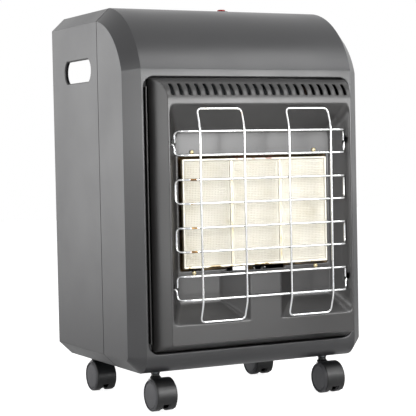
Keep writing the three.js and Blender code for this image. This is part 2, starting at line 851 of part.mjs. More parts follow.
function panelSlots() {
  const centreY = panelArchDepth - panelProud;
  const rise = panelTop - panelFlatTop;
  const onArch = (angle) => [
    centreY - panelArchDepth * Math.cos(angle),
    panelFlatTop + rise * Math.sin(angle),
  ];
  const [y0, z0] = onArch(slotStartAngle);
  const [y1, z1] = onArch(slotEndAngle);
  const length = Math.hypot(y1 - y0, z1 - z0);
  const tilt = Math.atan2(y1 - y0, z1 - z0);
  const slots = [];
  for (let i = 0; i < slotCount; i += 1) {
    const x = (i - (slotCount - 1) / 2) * slotPitch;
    const half = slotWidth / 2;
    const shape = roundedOutline(-half, half, -length / 2, length / 2, half - shortestStraight);
    const cutter = drawnOut(shape, 2 * sheet + rise / 2, 1).rotateX(Math.PI / 2);
    cutter.translate(0, sheet + rise / 3, 0).rotateX(-tilt).translate(x, (y0 + y1) / 2, (z0 + z1) / 2);
    slots.push(solid(cutter));
  }
  return slots;
}

function screwHole(x, z, y0, y1) {
  return rod('y', screwShank + fit, y0, y1, [x, z], smallSides);
}

const hookedLoops = [0, loopCount - 1];
const loopZ = (i) => lowestLoopZ + i * loopPitch;

function frontPanel() {
  const back = mouthReturn + fit + sheet;
  const shell = cut(panelBlock(0), panelBlock(sheet));
  const flangeShape = roundedOutline(-flangeHalf, flangeHalf, flangeLow, flangeHigh, mouthCorner);
  const flange = cut(alongY(flangeShape, mouthReturn + fit, back), panelBlock(sheet));
  const lips = [-1, 1].map((side) => {
    const outer = lipInner + lipWidth;
    const [x0, x1] = side > 0 ? [lipInner, outer] : [-outer, -lipInner];
    return block(x0, x1, lipFront, back, lipLow, lipHigh);
  });
  const tray = hull([...recessRing(0, sheet), ...recessRing(1, sheet).map((p) => p.add(at(0, sheet, 0)))]);
  const cavity = cut(hull([...recessRing(-mouthOvershoot, 0), ...recessRing(1, 0)]), columnHull(0, past));
  const half = frameOuter + windowGap;
  const [y0, y1] = [recessBackY - through, recessBackY + through];
  const burnerWindow = block(-half, half, y0, y1, frameLow - windowGap, frameHigh + windowGap);
  const notch = block(-pilotNotchHalf, pilotNotchHalf, y0, y1, pilotNotchLow, frameLow);
  const hookHoles = [];
  const holeY = (hookTipY + loopEndY) / 2;
  for (const i of hookedLoops) {
    for (const side of [-1, 1]) {
      const low = loopZ(i) - hookDrop - wireRadius - fit;
      const [inner, outer] = [loopEndX - hookHoleInner, hookTipX + hookHoleOuter];
      const [x0, x1] = side > 0 ? [inner, outer] : [-outer, -inner];
      const reach = hookHoleWidth / 2;
      hookHoles.push(block(x0, x1, holeY - reach, holeY + reach, low, low + hookHoleHeight));
    }
  }
  const screwHoles = screwPlaces.map(([, x, z]) => screwHole(x, z, recessBackY - past, 0));
  const body = joined(shell, tray.intersect(panelBlock(0)), flange, ...lips);
  const opened = cut(body, cavity, columnHull(sheet, 2 * sheet), ...panelSlots(), burnerWindow, notch);
  return cut(opened, ...hookHoles, ...screwHoles);
}

// ---------------------------------------------------------------- burners

const screwPlaces = [
  ['upper_left', -screwX, screwHigh],
  ['upper_right', screwX, screwHigh],
  ['lower_left', -screwX, screwLow],
  ['lower_right', screwX, screwLow],
];

const burnerPlaces = [
  ['left', -plaquePitch],
  ['centre', 0],
  ['right', plaquePitch],
];

function burnerFrame() {
  const insideLow = frameLow + frameSheet;
  const insideHigh = frameHigh - frameSheet;
  // a flat ring from the frame's outside, moved out by wide and tall, to its inside, moved in by lip
  const ring = (wide, tall, lip, y0, y1) => {
    const outer = frameOuter + wide;
    const inner = frameInner - lip;
    return cut(
      block(-outer, outer, y0, y1, frameLow - tall, frameHigh + tall),
      block(-inner, inner, y0 - past, y1 + past, insideLow + lip, insideHigh - lip),
    );
  };
  const wall = ring(0, 0, 0, frameFrontY, frameFrontY + frameBack);
  const lip = ring(0, 0, frameLip, frameFrontY, frameFrontY + frameSheet);
  const [y0, y1] = [frameFlangeY, frameFlangeY + frameSheet];
  const flange = ring(frameFlangeWide, frameFlangeTall, 0, y0, y1);
  const reach = frameLow - frameFlangeTall - past;
  const notch = block(-pilotNotchHalf, pilotNotchHalf, y0 - past, y1 + past, reach, frameLow);
  const holes = screwPlaces.map(([, x, z]) => screwHole(x, z, y0 - past, y1 + past));
  const bars = [-1, 1].map((side) => {
    const x = (side * plaquePitch) / 2;
    const front = frameFrontY + frameSheet;
    return block(x - frameBarHalf, x + frameBarHalf, frameFrontY, front, frameLow, frameHigh);
  });
  return cut(joined(wall, lip, ...bars, cut(flange, notch)), ...holes);
}

// A pressed-steel trough behind each plaque, with its mixing tube running down to the injector.
function burner(x) {
  const half = plaqueWidth / 2;
  const back = burnerFrontY + burnerDepth;
  const trough = block(x - half, x + half, burnerFrontY, back, burnerLow, burnerHigh);
  const hollow = block(
    x - half + burnerSheet,
    x + half - burnerSheet,
    burnerFrontY - past,
    back - burnerSheet,
    burnerLow + burnerSheet,
    burnerHigh - burnerSheet,
  );
  const bellHeight = mixerBell - mixerRadius;
  const stack = (grow, extra) => [
    [0, mixerLow - extra],
    [mixerBell + grow, mixerLow - extra],
    [mixerRadius + grow, mixerLow + bellHeight],
    [mixerRadius + grow, burnerLow + burnerSheet / 2 + extra],
    [0, burnerLow + burnerSheet / 2 + extra],
  ];
  const pipe = turned(stack(mixerWall, 0), smallSides).translate([x, mixerY, 0]);
  const bore = turned(stack(0, past), smallSides).translate([x, mixerY, 0]);
  return cut(joined(trough, pipe), hollow, bore);
}

function plaque(x) {
  const half = plaqueWidth / 2;
  return block(x - half, x + half, plaqueFrontY, plaqueBackY, burnerLow, burnerHigh);
}

function gasRail() {
  const rail = rod('x', railRadius, -railHalf, railHalf, [mixerY, railZ], smallSides);
  const seat = railZ + railBossHeight;
  const bossRadius = injectorRadius + railBossWall;
  const bosses = burnerPlaces.map(([, x]) => rod('z', bossRadius, railZ, seat, [x, mixerY], smallSides));
  const footBackY = trayFrontY + railFootLap;
  const feet = [-railFootX, railFootX].map((x) =>
    joined(
      block(x - railFootHalf, x + railFootHalf, mixerY - sheet / 2, mixerY + sheet / 2, trayFootZ, railZ),
      block(x - railFootHalf, x + railFootHalf, mixerY, footBackY, trayFootZ, trayFootZ + sheet),
    ),
  );
  return joined(rail, ...bosses, ...feet);
}

// The rail's feet stand on the rim-free part of the tray.
const trayFootZ = trayTop + fit;

function injector(x) {
  const low = railZ + railBossHeight + fit;
  const high = low + injectorHeight;
  const nozzle = turned(
    [
      [0, low],
      [injectorRadius, low],
      [injectorRadius, high - injectorNose],
      [injectorNoseRadius, high],
      [0, high],
    ],
    hexSides,
  );
  const bore = rod('z', injectorBore, low + injectorFloor, high + past, [x, mixerY], hexSides);
  return cut(nozzle.translate([x, mixerY, 0]), bore);
}

function frameScrew(x, z) {
  const face = recessBackY - fit;
  const profile = [
    [0, screwLength],
    [screwShank, screwLength],
    [screwShank, 0],
    [screwHeadRadius, 0],
    [screwShoulderRadius, -screwShoulderHeight],
    [screwCrownRadius, -screwHeadHeight],
    [0, -screwHeadHeight],
  ];
  const points = profile.map(([radius, height]) => new THREE.Vector2(radius, height)).reverse();
  return solid(new THREE.LatheGeometry(points, smallSides).translate(x, face, z));
}

// ---------------------------------------------------------------- wire guard

// A wire lies across the recess at one height, with both ends bent back towards the panel.
function crossWire(z) {
  const half = [at(loopBendX, guardCrossY, z), at(loopEndX, loopEndY, z)];
  return [...half.map((p) => at(-p.x, p.y, p.z)).reverse(), ...half];
}

function crossLoop(i) {
  const high = crossWire(loopZ(i) + loopHeight / 2);
  const low = crossWire(loopZ(i) - loopHeight / 2).reverse();
  return [tube(route([...high, ...low], wireCorner, 2, true), wireRadius, wireSides, true)];
}

// The lowest and highest loops are cut at mid height: their lower wires end in hooks that hold the
// guard to the panel.
function hookedLoop(i) {
  const middle = loopZ(i);
  const ends = (z) => [at(-loopEndX, loopEndY, z), at(loopEndX, loopEndY, z)];
  const [cutLeft, cutRight] = ends(middle + stapleGap);
  const upper = [cutLeft, ...crossWire(middle + loopHeight / 2), cutRight];
  const z = middle - hookDrop;
  const hook = (side) => [at(side * hookTipX, hookTipY, z), at(side * hookElbowX, loopEndY, z)];
  const lower = [...hook(-1), ...crossWire(middle - loopHeight / 2), ...hook(1).reverse()];
  return [upper, lower].map((corners) => tube(route(corners, wireCorner, 2), wireRadius, wireSides));
}

// An upright loop is welded in front of the flat ones; its two ends lean back towards the panel.
function uprightLoop(side) {
  const [x0, x1] = side > 0 ? [uprightInner, uprightOuter] : [-uprightOuter, -uprightInner];
  const corners = [
    at(x0, guardFrontY, uprightKneeHigh),
    at(x0, uprightTipY, uprightHigh),
    at(x1, uprightTipY, uprightHigh),
    at(x1, guardFrontY, uprightKneeHigh),
    at(x1, guardFrontY, uprightKneeLow),
    at(x1, uprightTipY, uprightLow),
    at(x0, uprightTipY, uprightLow),
    at(x0, guardFrontY, uprightKneeLow),
  ];
  return tube(route(corners, wireCorner, 2, true), wireRadius, wireSides, true);
}

function wireGuard() {
  const loops = [uprightLoop(-1), uprightLoop(1)];
  for (let i = 0; i < loopCount; i += 1) {
    loops.push(...(hookedLoops.includes(i) ? hookedLoop(i) : crossLoop(i)));
  }
  return joined(...loops);
}

// ---------------------------------------------------------------- inside the cabinet

// The tray's platform is pressed up out of its floor.
function baseTray() {
  const floor = block(-trayHalf, trayHalf, trayFrontY, trayBackY, trayZ, trayTop);
  const rim = block(-trayHalf, trayHalf, trayBackY - sheet, trayBackY, trayZ, trayZ + trayRim);
  const pad = block(-padHalf, padHalf, padFrontY, padBackY, trayZ, trayTop + padRise);
  const under = sheet - padHalf;
  const hollow = block(under, -under, padFrontY + sheet, padBackY - sheet, trayZ - past, trayZ + padRise);
  const [low, high] = [trayZ - past, trayTop + past];
  const holes = castorPlaces.map(([, x, y]) => rod('z', stemRadius + fit, low, high, [x, y]));
  return cut(joined(floor, rim, pad), hollow, ...holes);
}

function heatShield() {
  const low = trayTop + fit;
  const wall = alongY(
    outline([
      [-shieldFootHalf, low],
      [shieldFootHalf, low],
      [shieldHalf, shieldKink],
      [shieldHalf, shelfZ],
      [-shieldHalf, shelfZ],
      [-shieldHalf, shieldKink],
    ]),
    shieldY,
    shieldY + shieldSheet,
  );
  const foot = block(-shieldFootHalf, shieldFootHalf, shieldY, shieldY + trayRim, low, low + shieldSheet);
  const shelf = block(shelfLeft, shelfRight, shieldY, shelfBackY, shelfZ - shieldSheet, shelfZ);
  const edgeY = shelfBackY - shieldSheet;
  const turndown = block(shelfLeft, shelfRight, edgeY, shelfBackY, shelfZ - trayRim, shelfZ);
  return joined(wall, foot, shelf, turndown);
}

// ---------------------------------------------------------------- controls

function controlPanel() {
  const rimShape = roundedOutline(
    controlLeft - controlRimLap,
    controlRight + controlRimLap,
    controlFrontY - controlRimLap,
    controlBackY + controlRimLap,
    controlCorner + controlRimLap,
  );
  const plate = alongZ(rimShape, bodyHeight + fit, topOfRim);
  const inset = running;
  const skirtShape = roundedOutline(
    controlLeft + inset,
    controlRight - inset,
    controlFrontY + inset,
    controlBackY - inset,
    controlCorner,
  );
  const innerShape = roundedOutline(
    controlLeft + inset + controlWall,
    controlRight - inset - controlWall,
    controlFrontY + inset + controlWall,
    controlBackY - inset - controlWall,
    controlCorner,
  );
  const skirtLow = bodyHeight - 3 * sheet;
  const skirtInside = alongZ(innerShape, skirtLow - past, bodyHeight);
  const skirt = cut(alongZ(skirtShape, skirtLow, bodyHeight + past), skirtInside);
  const middle = [knobX, knobY];
  const wellLow = knobWellFloor - controlWall;
  const well = rod('z', knobWellRadius + controlWall, wellLow, bodyHeight + fit, middle, wellSides);
  const bore = rod('z', knobWellRadius, knobWellFloor, topOfRim + past, middle, wellSides);
  const floorHigh = knobWellFloor + past;
  const spindleHole = rod('z', spindleRadius + running, wellLow - past, floorHigh, middle, smallSides);
  const plug = [igniterX, igniterY];
  const igniterHole = rod('z', igniterRadius + fit, skirtLow, topOfRim + past, plug, plugSides);
  return cut(joined(plate, skirt, well), bore, spindleHole, igniterHole);
}

function igniterBody() {
  const middle = [igniterX, igniterY];
  const seat = topOfRim + fit;
  const face = seat + igniterBezelHeight;
  const barrel = rod('z', igniterRadius, topOfRim - igniterLength, face, middle, plugSides);
  const bezel = rod('z', igniterBezelRadius, seat, face, middle, plugSides);
  const boreLow = face + buttonProud - buttonLength - buttonTravel - fit;
  const bore = rod('z', buttonRadius + fit, boreLow, face + past, middle);
  const nutHigh = bodyHeight - 4 * sheet;
  const nut = rod('z', igniterBezelRadius, nutHigh - igniterNutHeight, nutHigh, middle, hexSides);
  return cut(joined(barrel, bezel, nut), bore);
}

function igniterButton() {
  const high = topOfRim + fit + igniterBezelHeight + buttonProud;
  const low = high - buttonLength;
  const cap = turned(
    [
      [0, low],
      [buttonRadius, low],
      [buttonRadius, high - buttonEdge],
      [buttonRadius - buttonEdge, high],
      [0, high],
    ],
    rodSides,
  );
  return cap.translate([igniterX, igniterY, 0]);
}

function gasValve() {
  const high = valveLow + valveHeight;
  const [frontY, backY] = [knobY - valveHalfY, knobY + valveHalfY];
  const body = block(knobX - valveHalfX, knobX + valveHalfX, frontY, backY, valveLow, high);
  const outlet = (x, radius) => rod('y', radius, frontY - outletLength, knobY, [x, outletZ], pipeSides);
  const outlets = [
    outlet(knobX, pipeRadius + outletWall),
    outlet(knobX + outletSpacing, pilotPipeRadius + outletWall),
    outlet(knobX - outletSpacing, leadRadius + outletWall),
  ];
  const inlet = rod('y', hoseTailRadius + outletWall, knobY, backY + inletLength, [knobX, inletZ], pipeSides);
  const plungerBore = high - plungerHeight - knobPress - fit;
  const bore = rod('z', plungerRadius + fit, plungerBore, high + past, [knobX, knobY]);
  return cut(joined(body, ...outlets, inlet), bore);
}

const plungerHigh = valveLow + valveHeight;

function valvePlunger() {
  return rod('z', plungerRadius, plungerHigh - plungerHeight, plungerHigh, [knobX, knobY]);
}

const knobLow = knobWellFloor + knobPress + knobFloorGap;
const knobHigh = knobLow + knobHeight;

function valveSpindle() {
  return rod('z', spindleRadius, plungerHigh + fit, knobHigh - knobCrown - fit, [knobX, knobY], smallSides);
}

// A round skirt with a raised grip bar across it.
function controlKnob() {
  const skirtHigh = knobLow + knobSkirtHeight;
  const skirt = turned(
    [
      [0, knobLow],
      [knobRadius, knobLow],
      [knobRadius, skirtHigh - knobEdge],
      [knobRadius - knobEdge, skirtHigh],
      [0, skirtHigh],
    ],
    knobSides,
  );
  const reach = knobRadius - knobGripInset;
  const grip = roundedOutline(-knobGripHalf, knobGripHalf, -reach, reach, knobGripCorner);
  const bar = alongZ(grip, knobLow + past, knobHigh, 2);
  const socket = rod('z', spindleRadius + fit, knobLow - past, knobHigh - knobCrown, [0, 0], smallSides);
  return cut(joined(skirt, bar), socket).translate([knobX, knobY, 0]);
}

// ---------------------------------------------------------------- pipes and leads

function hoseTail() {
  const seat = knobY + valveHalfY + inletLength + fit;
  const shoulder = hoseTailRadius + hoseTailShoulder;
  const groove = hoseTailRadius - hoseTailGroove;
  const profile = [
    [0, 0],
    [shoulder, 0],
    [shoulder, hoseTailPitch],
    [groove, hoseTailPitch],
  ];
  for (let i = 1; i <= hoseTailRibs; i += 1) {
    const start = hoseTailPitch * i + hoseTailGroove;
    profile.push([hoseTailRadius, start + hoseTailCrest], [groove, start + hoseTailPitch - hoseTailGroove]);
  }
  profile.push([groove, hoseTailLength], [0, hoseTailLength]);
  const points = profile.map(([radius, height]) => new THREE.Vector2(radius, height));
  const tail = solid(new THREE.LatheGeometry(points, smallSides).translate(knobX, seat, inletZ));
  const end = seat + hoseTailLength + past;
  return cut(tail, rod('y', hoseTailBore, seat + hoseTailFloor, end, [knobX, inletZ], pipeSides));
}

function feedPipe() {
  const turnX = knobX + feedShift;
  const corners = [
    at(knobX, outletFaceY, outletZ),
    at(knobX, riserY, outletZ),
    at(turnX, riserY, outletZ - 2 * feedShift),
    at(turnX, riserY, railZ),
    at(turnX, mixerY, railZ),
    at(railHalf + fit, mixerY, railZ),
  ];
  return tube(route(corners, 3 * pipeRadius, 4), pipeRadius, pipeSides);
}

// A thin pipe or lead from an outlet of the valve to the underside of the pilot shelf.
function pilotRun(outletX, sideX, crossZ, endX, radius) {
  const corners = [
    at(outletX, outletFaceY, outletZ),
    at(outletX, leadY, outletZ),
    at(sideX, leadY, outletZ - leadSlant),
    at(sideX, leadY, crossZ),
    at(endX, leadY, crossZ),
    at(endX, pilotY, crossZ),
    at(endX, pilotY, pilotTailZ - fit),
  ];
  return tube(route(corners, leadCorner, 2), radius, leadSides);
}

function pilotPipe() {
  return pilotRun(knobX + outletSpacing, pilotPipeX, pilotPipeZ, pilotX, pilotPipeRadius);
}

function thermocoupleLead() {
  return pilotRun(knobX - outletSpacing, probeLeadX, probeLeadZ, thermocoupleX, leadRadius);
}

function sparkLead() {
  const top = topOfRim - igniterLength - fit;
  const drop = top - leadCorner * 2;
  const corners = [
    at(igniterX, igniterY, top),
    at(igniterX, igniterY, drop),
    at(igniterX, leadY, drop),
    at(sparkLeadX, leadY, drop - leadSlant),
    at(sparkLeadX, leadY, sparkLeadZ),
    at(sparkCrossX, leadY, sparkLeadZ),
    at(sparkCrossX, pilotY, sparkLeadZ),
    at(electrodeX, pilotY, sparkLeadZ),
    at(electrodeX, pilotY, pilotTailZ - fit),
  ];
  return tube(route(corners, leadCorner, 2), leadRadius, leadSides);
}

// ---------------------------------------------------------------- pilot

function pilotBracket() {
  const face = frameFlangeY + frameSheet + fit;
  const low = pilotShelfZ - shieldSheet;
  const high = pilotShelfZ + pilotBracketRise;
  const plate = block(-pilotBracketHalf, pilotBracketHalf, face, face + shieldSheet, low, high);
  const shelf = block(pilotShelfLeft, pilotShelfRight, face, pilotShelfBackY, low, pilotShelfZ);
  const holes = [
    [pilotX, pilotRadius],
    [electrodeX, electrodeRadius],
    [thermocoupleX, probeRadius],
  ].map(([x, radius]) => rod('z', radius + fit, low - past, pilotShelfZ + past, [x, pilotY], smallSides));
  return cut(joined(plate, shelf), ...holes);
}

// The head reaches forward through the notch of the panel and opens towards the electrode.
function pilotBurner() {
  const low = pilotNotchLow + fit;
  const high = low + pilotHeadHeight;
  const [left, right] = [pilotX - pilotHeadLeft, pilotX + pilotHeadRight];
  const stem = rod('z', pilotRadius, pilotTailZ, low + past, [pilotX, pilotY], smallSides);
  const head = block(left, right, pilotHeadFrontY, pilotY + pilotRadius, low, high);
  const front = pilotHeadFrontY + pilotHeadWall;
  const mouth = block(
    right - pilotMouthDepth,
    right + past,
    front,
    front + pilotMouthWidth,
    low + pilotHeadWall,
    high + past,
  );
  return cut(joined(stem, head), mouth);
}

// A ceramic sleeve that stands in the shelf, with a bent tip that reaches forward.
function pilotProbe(x, radius, tipRadius, tip) {
  const rise = pilotShelfZ + sleeveRise;
  const neck = rise + sleeveTaper;
  const sleeve = turned(
    [
      [0, pilotTailZ],
      [radius, pilotTailZ],
      [radius, rise],
      [tipRadius, neck],
      [0, neck],
    ],
    smallSides,
  );
  const bend = at(0, 0, neck + sleeveTaper);
  const needle = tube(route([at(0, 0, rise), bend, tip], probeCorner, 2), tipRadius - probeStep, leadSides);
  return joined(sleeve, needle).translate([x, pilotY, 0]);
}

function sparkElectrode() {
  const tip = at(-electrodeTipAside, -probeReach, pilotShelfZ + probeTipRise);
  return pilotProbe(electrodeX, electrodeRadius, electrodeTipRadius, tip);
}

function thermocouple() {
  const tip = at(-probeTipAside, -probeReach, pilotShelfZ + probeTipRise);
  return pilotProbe(thermocoupleX, probeRadius, probeTipRadius, tip);
}

// ---------------------------------------------------------------- castors

const castorPlaces = [
  ['front_left', -castorX, castorFrontY],
  ['front_right', castorX, castorFrontY],
  ['rear_left', -castorX, castorRearY],
  ['rear_right', castorX, castorRearY],
];

// Castor pieces are drawn about the stem, with the wheels trailing towards the front.
function castorStem() {
  const under = trayZ - fit;
  return turned(
    [
      [0, -stemBelow],
      [stemRadius, -stemBelow],
      [stemRadius, under - stemCollarHeight],
      [stemCollarRadius, under - stemCollarHeight],
      [stemCollarRadius, under],
      [stemRadius, under],
      [stemRadius, trayTop + stemAbove],
      [0, trayTop + stemAbove],
    ],
    rodSides,
  );
}

function sector(radius, from, to) {
  const shape = new THREE.Shape();
  shape.moveTo(0, 0);
  shape.lineTo(radius * Math.cos(from), radius * Math.sin(from));
  shape.absarc(0, 0, radius, from, to);
  return shape;
}

// Angles about the axle start at the front, because the hood covers the trailing side of the wheels.
function castorHood() {
  const toFront = (body) => body.translate([0, -castorTrail, wheelCentreZ]);
  const swing = [Math.PI - hoodBackAngle, Math.PI - hoodFrontAngle];
  const barrelOuter = alongX(sector(hoodRadius, ...swing), -hoodHalf, hoodHalf, archSteps);
  const clear = rod('x', hoodRadius - hoodWall, -hoodHalf - past, hoodHalf + past, [0, 0], wheelSegments);
  const web = rod('x', hoodRadius - hoodWall / 2, -hoodWebHalf, hoodWebHalf, [0, 0], wheelSegments);
  const barrel = toFront(joined(cut(barrelOuter, clear), web));
  const below = wheelCentreZ - hoodRadius - past;
  const far = castorTrail + hoodRadius + past;
  const notch = block(-hoodNotchHalf, hoodNotchHalf, -far, 0, below, hoodNotchHeight - floorGap);
  const wide = hoodHalf + past;
  const behind = block(-wide, wide, hoodNeckRadius, far, below, hoodNeckTop);
  const crown = wheelCentreZ + hoodRadius;
  const neck = rod('z', hoodNeckRadius, crown - hoodNeckDepth, hoodNeckTop, [0, 0]);
  const bossLow = -stemBelow - hoodBossFloor;
  const bossHigh = crown - hoodNeckDepth + past;
  const boss = block(-hoodWebHalf, hoodWebHalf, -hoodNeckRadius, hoodNeckRadius, bossLow, bossHigh);
  const axleBore = toFront(rod('x', axleRadius + fit, -hoodHalf, hoodHalf, [0, 0]));
  const stemBore = rod('z', stemRadius + fit, -stemBelow - running, 0, [0, 0]);
  return cut(joined(cut(barrel, notch, behind), neck, boss), axleBore, stemBore);
}

function castorAxle() {
  const half = wheelSpread / 2 - axleDepth - fit;
  return rod('x', axleRadius, -half, half, [-castorTrail, wheelCentreZ], smallSides);
}

function castorWheel(side) {
  const outer = wheelSpread / 2;
  const bore = axleRadius + fit;
  const profile = [
    [0, outer],
    [wheelRadius - wheelEdge, outer],
    [wheelRadius, outer - wheelEdge],
    [wheelRadius, wheelInner],
    [wheelRadius - wheelRim, wheelInner],
    [wheelRadius - wheelRim, outer - wheelFace],
    [wheelHub, outer - wheelFace],
    [wheelHub, wheelInner],
    [bore, wheelInner],
    [bore, outer - axleDepth],
    [0, outer - axleDepth],
  ];
  const points = profile.map(([radius, reach]) => new THREE.Vector2(radius, reach)).reverse();
  const wheel = new THREE.LatheGeometry(points, wheelSegments);
  wheel.rotateZ(side > 0 ? -Math.PI / 2 : Math.PI / 2);
  return solid(wheel.translate(0, -castorTrail, wheelCentreZ));
}

function addCastor(name, x, y) {
  const castor = new THREE.Group();
  castor.position.set(x, y, 0);
  cabinet.add(castor);
  place(`castor_stem_${name}`, castorStem(), zinc, castor);
  place(`castor_hood_${name}`, castorHood(), blackPlastic, castor);
  place(`castor_axle_${name}`, castorAxle(), zinc, castor);
  place(`castor_wheel_${name}_outer`, castorWheel(x > 0 ? 1 : -1), greyPlastic, castor);
  place(`castor_wheel_${name}_inner`, castorWheel(x > 0 ? -1 : 1), greyPlastic, castor);
}

// ---------------------------------------------------------------- the heater

place('front_casing', frontCasing(), coat);
place('rear_cover', rearCover(), coat);
place('rear_panel', rearPanel(), coat);
for (const [name, side] of pivotSides) place(`panel_pivot_${name}`, pivotPin(side), zinc);
place('base_tray', baseTray(), zinc);
place('heat_shield', heatShield(), zinc);
place('front_panel', frontPanel(), panelCoat);
place('burner_frame', burnerFrame(), burnerSteel);
for (const [name, x] of burnerPlaces) {
  place(`burner_${name}`, burner(x), burnerSteel);
  place(`plaque_${name}`, plaque(x), ceramic);
  place(`injector_${name}`, injector(x), brass);
}
for (const [name, x, z] of screwPlaces) place(`frame_screw_${name}`, frameScrew(x, z), brass);
place('gas_rail', gasRail(), zinc);
place('wire_guard', wireGuard(), chromeWire);
place('control_panel', controlPanel(), blackPlastic);
place('igniter_body', igniterBody(), blackPlastic);
place('igniter_button', igniterButton(), redPlastic);
place('gas_valve', gasValve(), brass);
place('valve_plunger', valvePlunger(), zinc);
place('valve_spindle', valveSpindle(), zinc);
place('control_knob', controlKnob(), blackPlastic);
place('hose_tail', hoseTail(), brass);
place('feed_pipe', feedPipe(), copper);
place('pilot_pipe', pilotPipe(), copper);
place('thermocouple_lead', thermocoupleLead(), copper);
place('spark_lead', sparkLead(), rubberLead);
place('pilot_bracket', pilotBracket(), zinc);
place('pilot_burner', pilotBurner(), zinc);
place('spark_electrode', sparkElectrode(), whiteCeramic);
place('thermocouple', thermocouple(), whiteCeramic);
for (const [name, x, y] of castorPlaces) addCastor(name, x, y);

export default heater;
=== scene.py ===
"""Portable gas cabinet heater: the visible surfaces and their finishes, built round the fixed frame.

Shapes are worked out in millimetres from the casing's front plane and the cabinet's underside
(X right, Y to the back, Z up), and put into the frame, in metres, when their mesh is made."""

import json
import math

import bmesh
import bpy
import numpy as np
from mathutils import Matrix, Vector
from mathutils.geometry import tessellate_polygon


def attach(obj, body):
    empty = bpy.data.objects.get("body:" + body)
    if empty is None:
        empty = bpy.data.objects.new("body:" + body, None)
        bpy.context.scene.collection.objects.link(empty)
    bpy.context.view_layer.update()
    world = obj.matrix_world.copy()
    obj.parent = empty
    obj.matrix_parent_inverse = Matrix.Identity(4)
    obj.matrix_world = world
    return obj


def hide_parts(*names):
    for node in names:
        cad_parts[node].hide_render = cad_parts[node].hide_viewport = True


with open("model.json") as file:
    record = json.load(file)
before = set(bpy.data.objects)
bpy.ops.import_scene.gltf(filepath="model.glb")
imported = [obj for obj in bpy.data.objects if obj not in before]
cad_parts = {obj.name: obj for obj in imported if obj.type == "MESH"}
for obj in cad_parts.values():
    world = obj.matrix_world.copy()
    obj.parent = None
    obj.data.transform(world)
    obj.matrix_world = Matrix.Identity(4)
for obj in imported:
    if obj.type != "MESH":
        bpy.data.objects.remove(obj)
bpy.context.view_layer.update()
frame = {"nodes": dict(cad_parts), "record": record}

# ---------------------------------------------------------------- camera

FRONT_PLANE = 127.4  # mm from the frame's origin forward to the casing's flat front
FLOOR_GAP = 59.0  # mm from the floor up to the cabinet's underside
MM = 0.001

CAMERA_AT = (-1.0653, -2.0331, 0.3883)
CAMERA_YAW = math.radians(27.424)  # to the right of straight at the front
CAMERA_PITCH = math.radians(2.236)  # downwards
CAMERA_ROLL = math.radians(1.164)
CAMERA_LENS = 123.19
CAMERA_SENSOR = 36.0


def aim_camera():
    """Places the camera from its yaw, its downward pitch and its roll about the line of sight."""
    yaw, pitch, roll = CAMERA_YAW, CAMERA_PITCH, CAMERA_ROLL
    ahead = Vector((math.sin(yaw) * math.cos(pitch), math.cos(yaw) * math.cos(pitch), -math.sin(pitch)))
    level = Vector((math.cos(yaw), -math.sin(yaw), 0))
    down = ahead.cross(level)
    right = level * math.cos(roll) + down * math.sin(roll)
    below = down * math.cos(roll) - level * math.sin(roll)
    camera = bpy.data.objects.new("camera", bpy.data.cameras.new("camera"))
    bpy.context.scene.collection.objects.link(camera)
    camera.data.lens = CAMERA_LENS
    camera.data.sensor_width = CAMERA_SENSOR
    turn = Matrix((right, -below, -ahead)).transposed().to_4x4()
    camera.matrix_world = Matrix.Translation(Vector(CAMERA_AT)) @ turn
    bpy.context.scene.camera = camera
    bpy.context.scene.view_settings.view_transform = "Standard"


aim_camera()

# ---------------------------------------------------------------- colours and nodes


def colour(code, alpha=1.0):
    """An sRGB hex code as linear red, green and blue with an alpha."""
    parts = np.array([int(code[i : i + 2], 16) for i in (1, 3, 5)]) / 255
    linear = np.where(parts <= 0.04045, parts / 12.92, ((parts + 0.055) / 1.055) ** 2.4)
    return (*linear.tolist(), alpha)


def add(tree, kind, links=None, stops=(), **settings):
    """Adds a node. Its own properties are set by name, its inputs by name or, as i2 is, by number.
    links gives what feeds an input: a node, whose first output is used, or an output. stops are a
    ramp's places with their hex colours."""
    node = tree.nodes.new("ShaderNode" + kind)
    for key, value in settings.items():
        if key[0] == "i" and key[1:].isdigit():
            node.inputs[int(key[1:])].default_value = value
        elif hasattr(node, key):
            setattr(node, key, value)
        else:
            node.inputs[key.replace("_", " ")].default_value = value
    if stops:
        elements = node.color_ramp.elements
        while len(elements) < len(stops):
            elements.new(0.5)
        for element, (place, code) in zip(elements, stops):
            element.position = place
            element.color = colour(code)
    feed(tree, node, links or {})
    return node


def feed(tree, node, links):
    """Links outputs, or the first outputs of nodes, to the inputs that the keys name."""
    for key, source in links.items():
        output = source if isinstance(source, bpy.types.NodeSocket) else source.outputs[0]
        tree.links.new(output, node.inputs[key])


def per(size):
    """The scale of a pattern whose parts are about the given size, in mm."""
    return 1 / (size * MM)


def at_depth(y):
    """A depth in mm as the frame's Y in metres."""
    return (y - FRONT_PLANE) * MM


def at_height(z):
    """A height in mm as the frame's Z in metres."""
    return (z + FLOOR_GAP) * MM


def finish(name, **settings):
    """A new material with its shader: returns the material, its tree, the shader and the object
    coordinates, in metres."""
    material = bpy.data.materials.new(name)
    material.use_nodes = True
    tree = material.node_tree
    shader = tree.nodes["Principled BSDF"]
    for key, value in settings.items():
        shader.inputs[key.replace("_", " ")].default_value = value
    place = add(tree, "TexCoord").outputs["Object"]
    return material, tree, shader, place


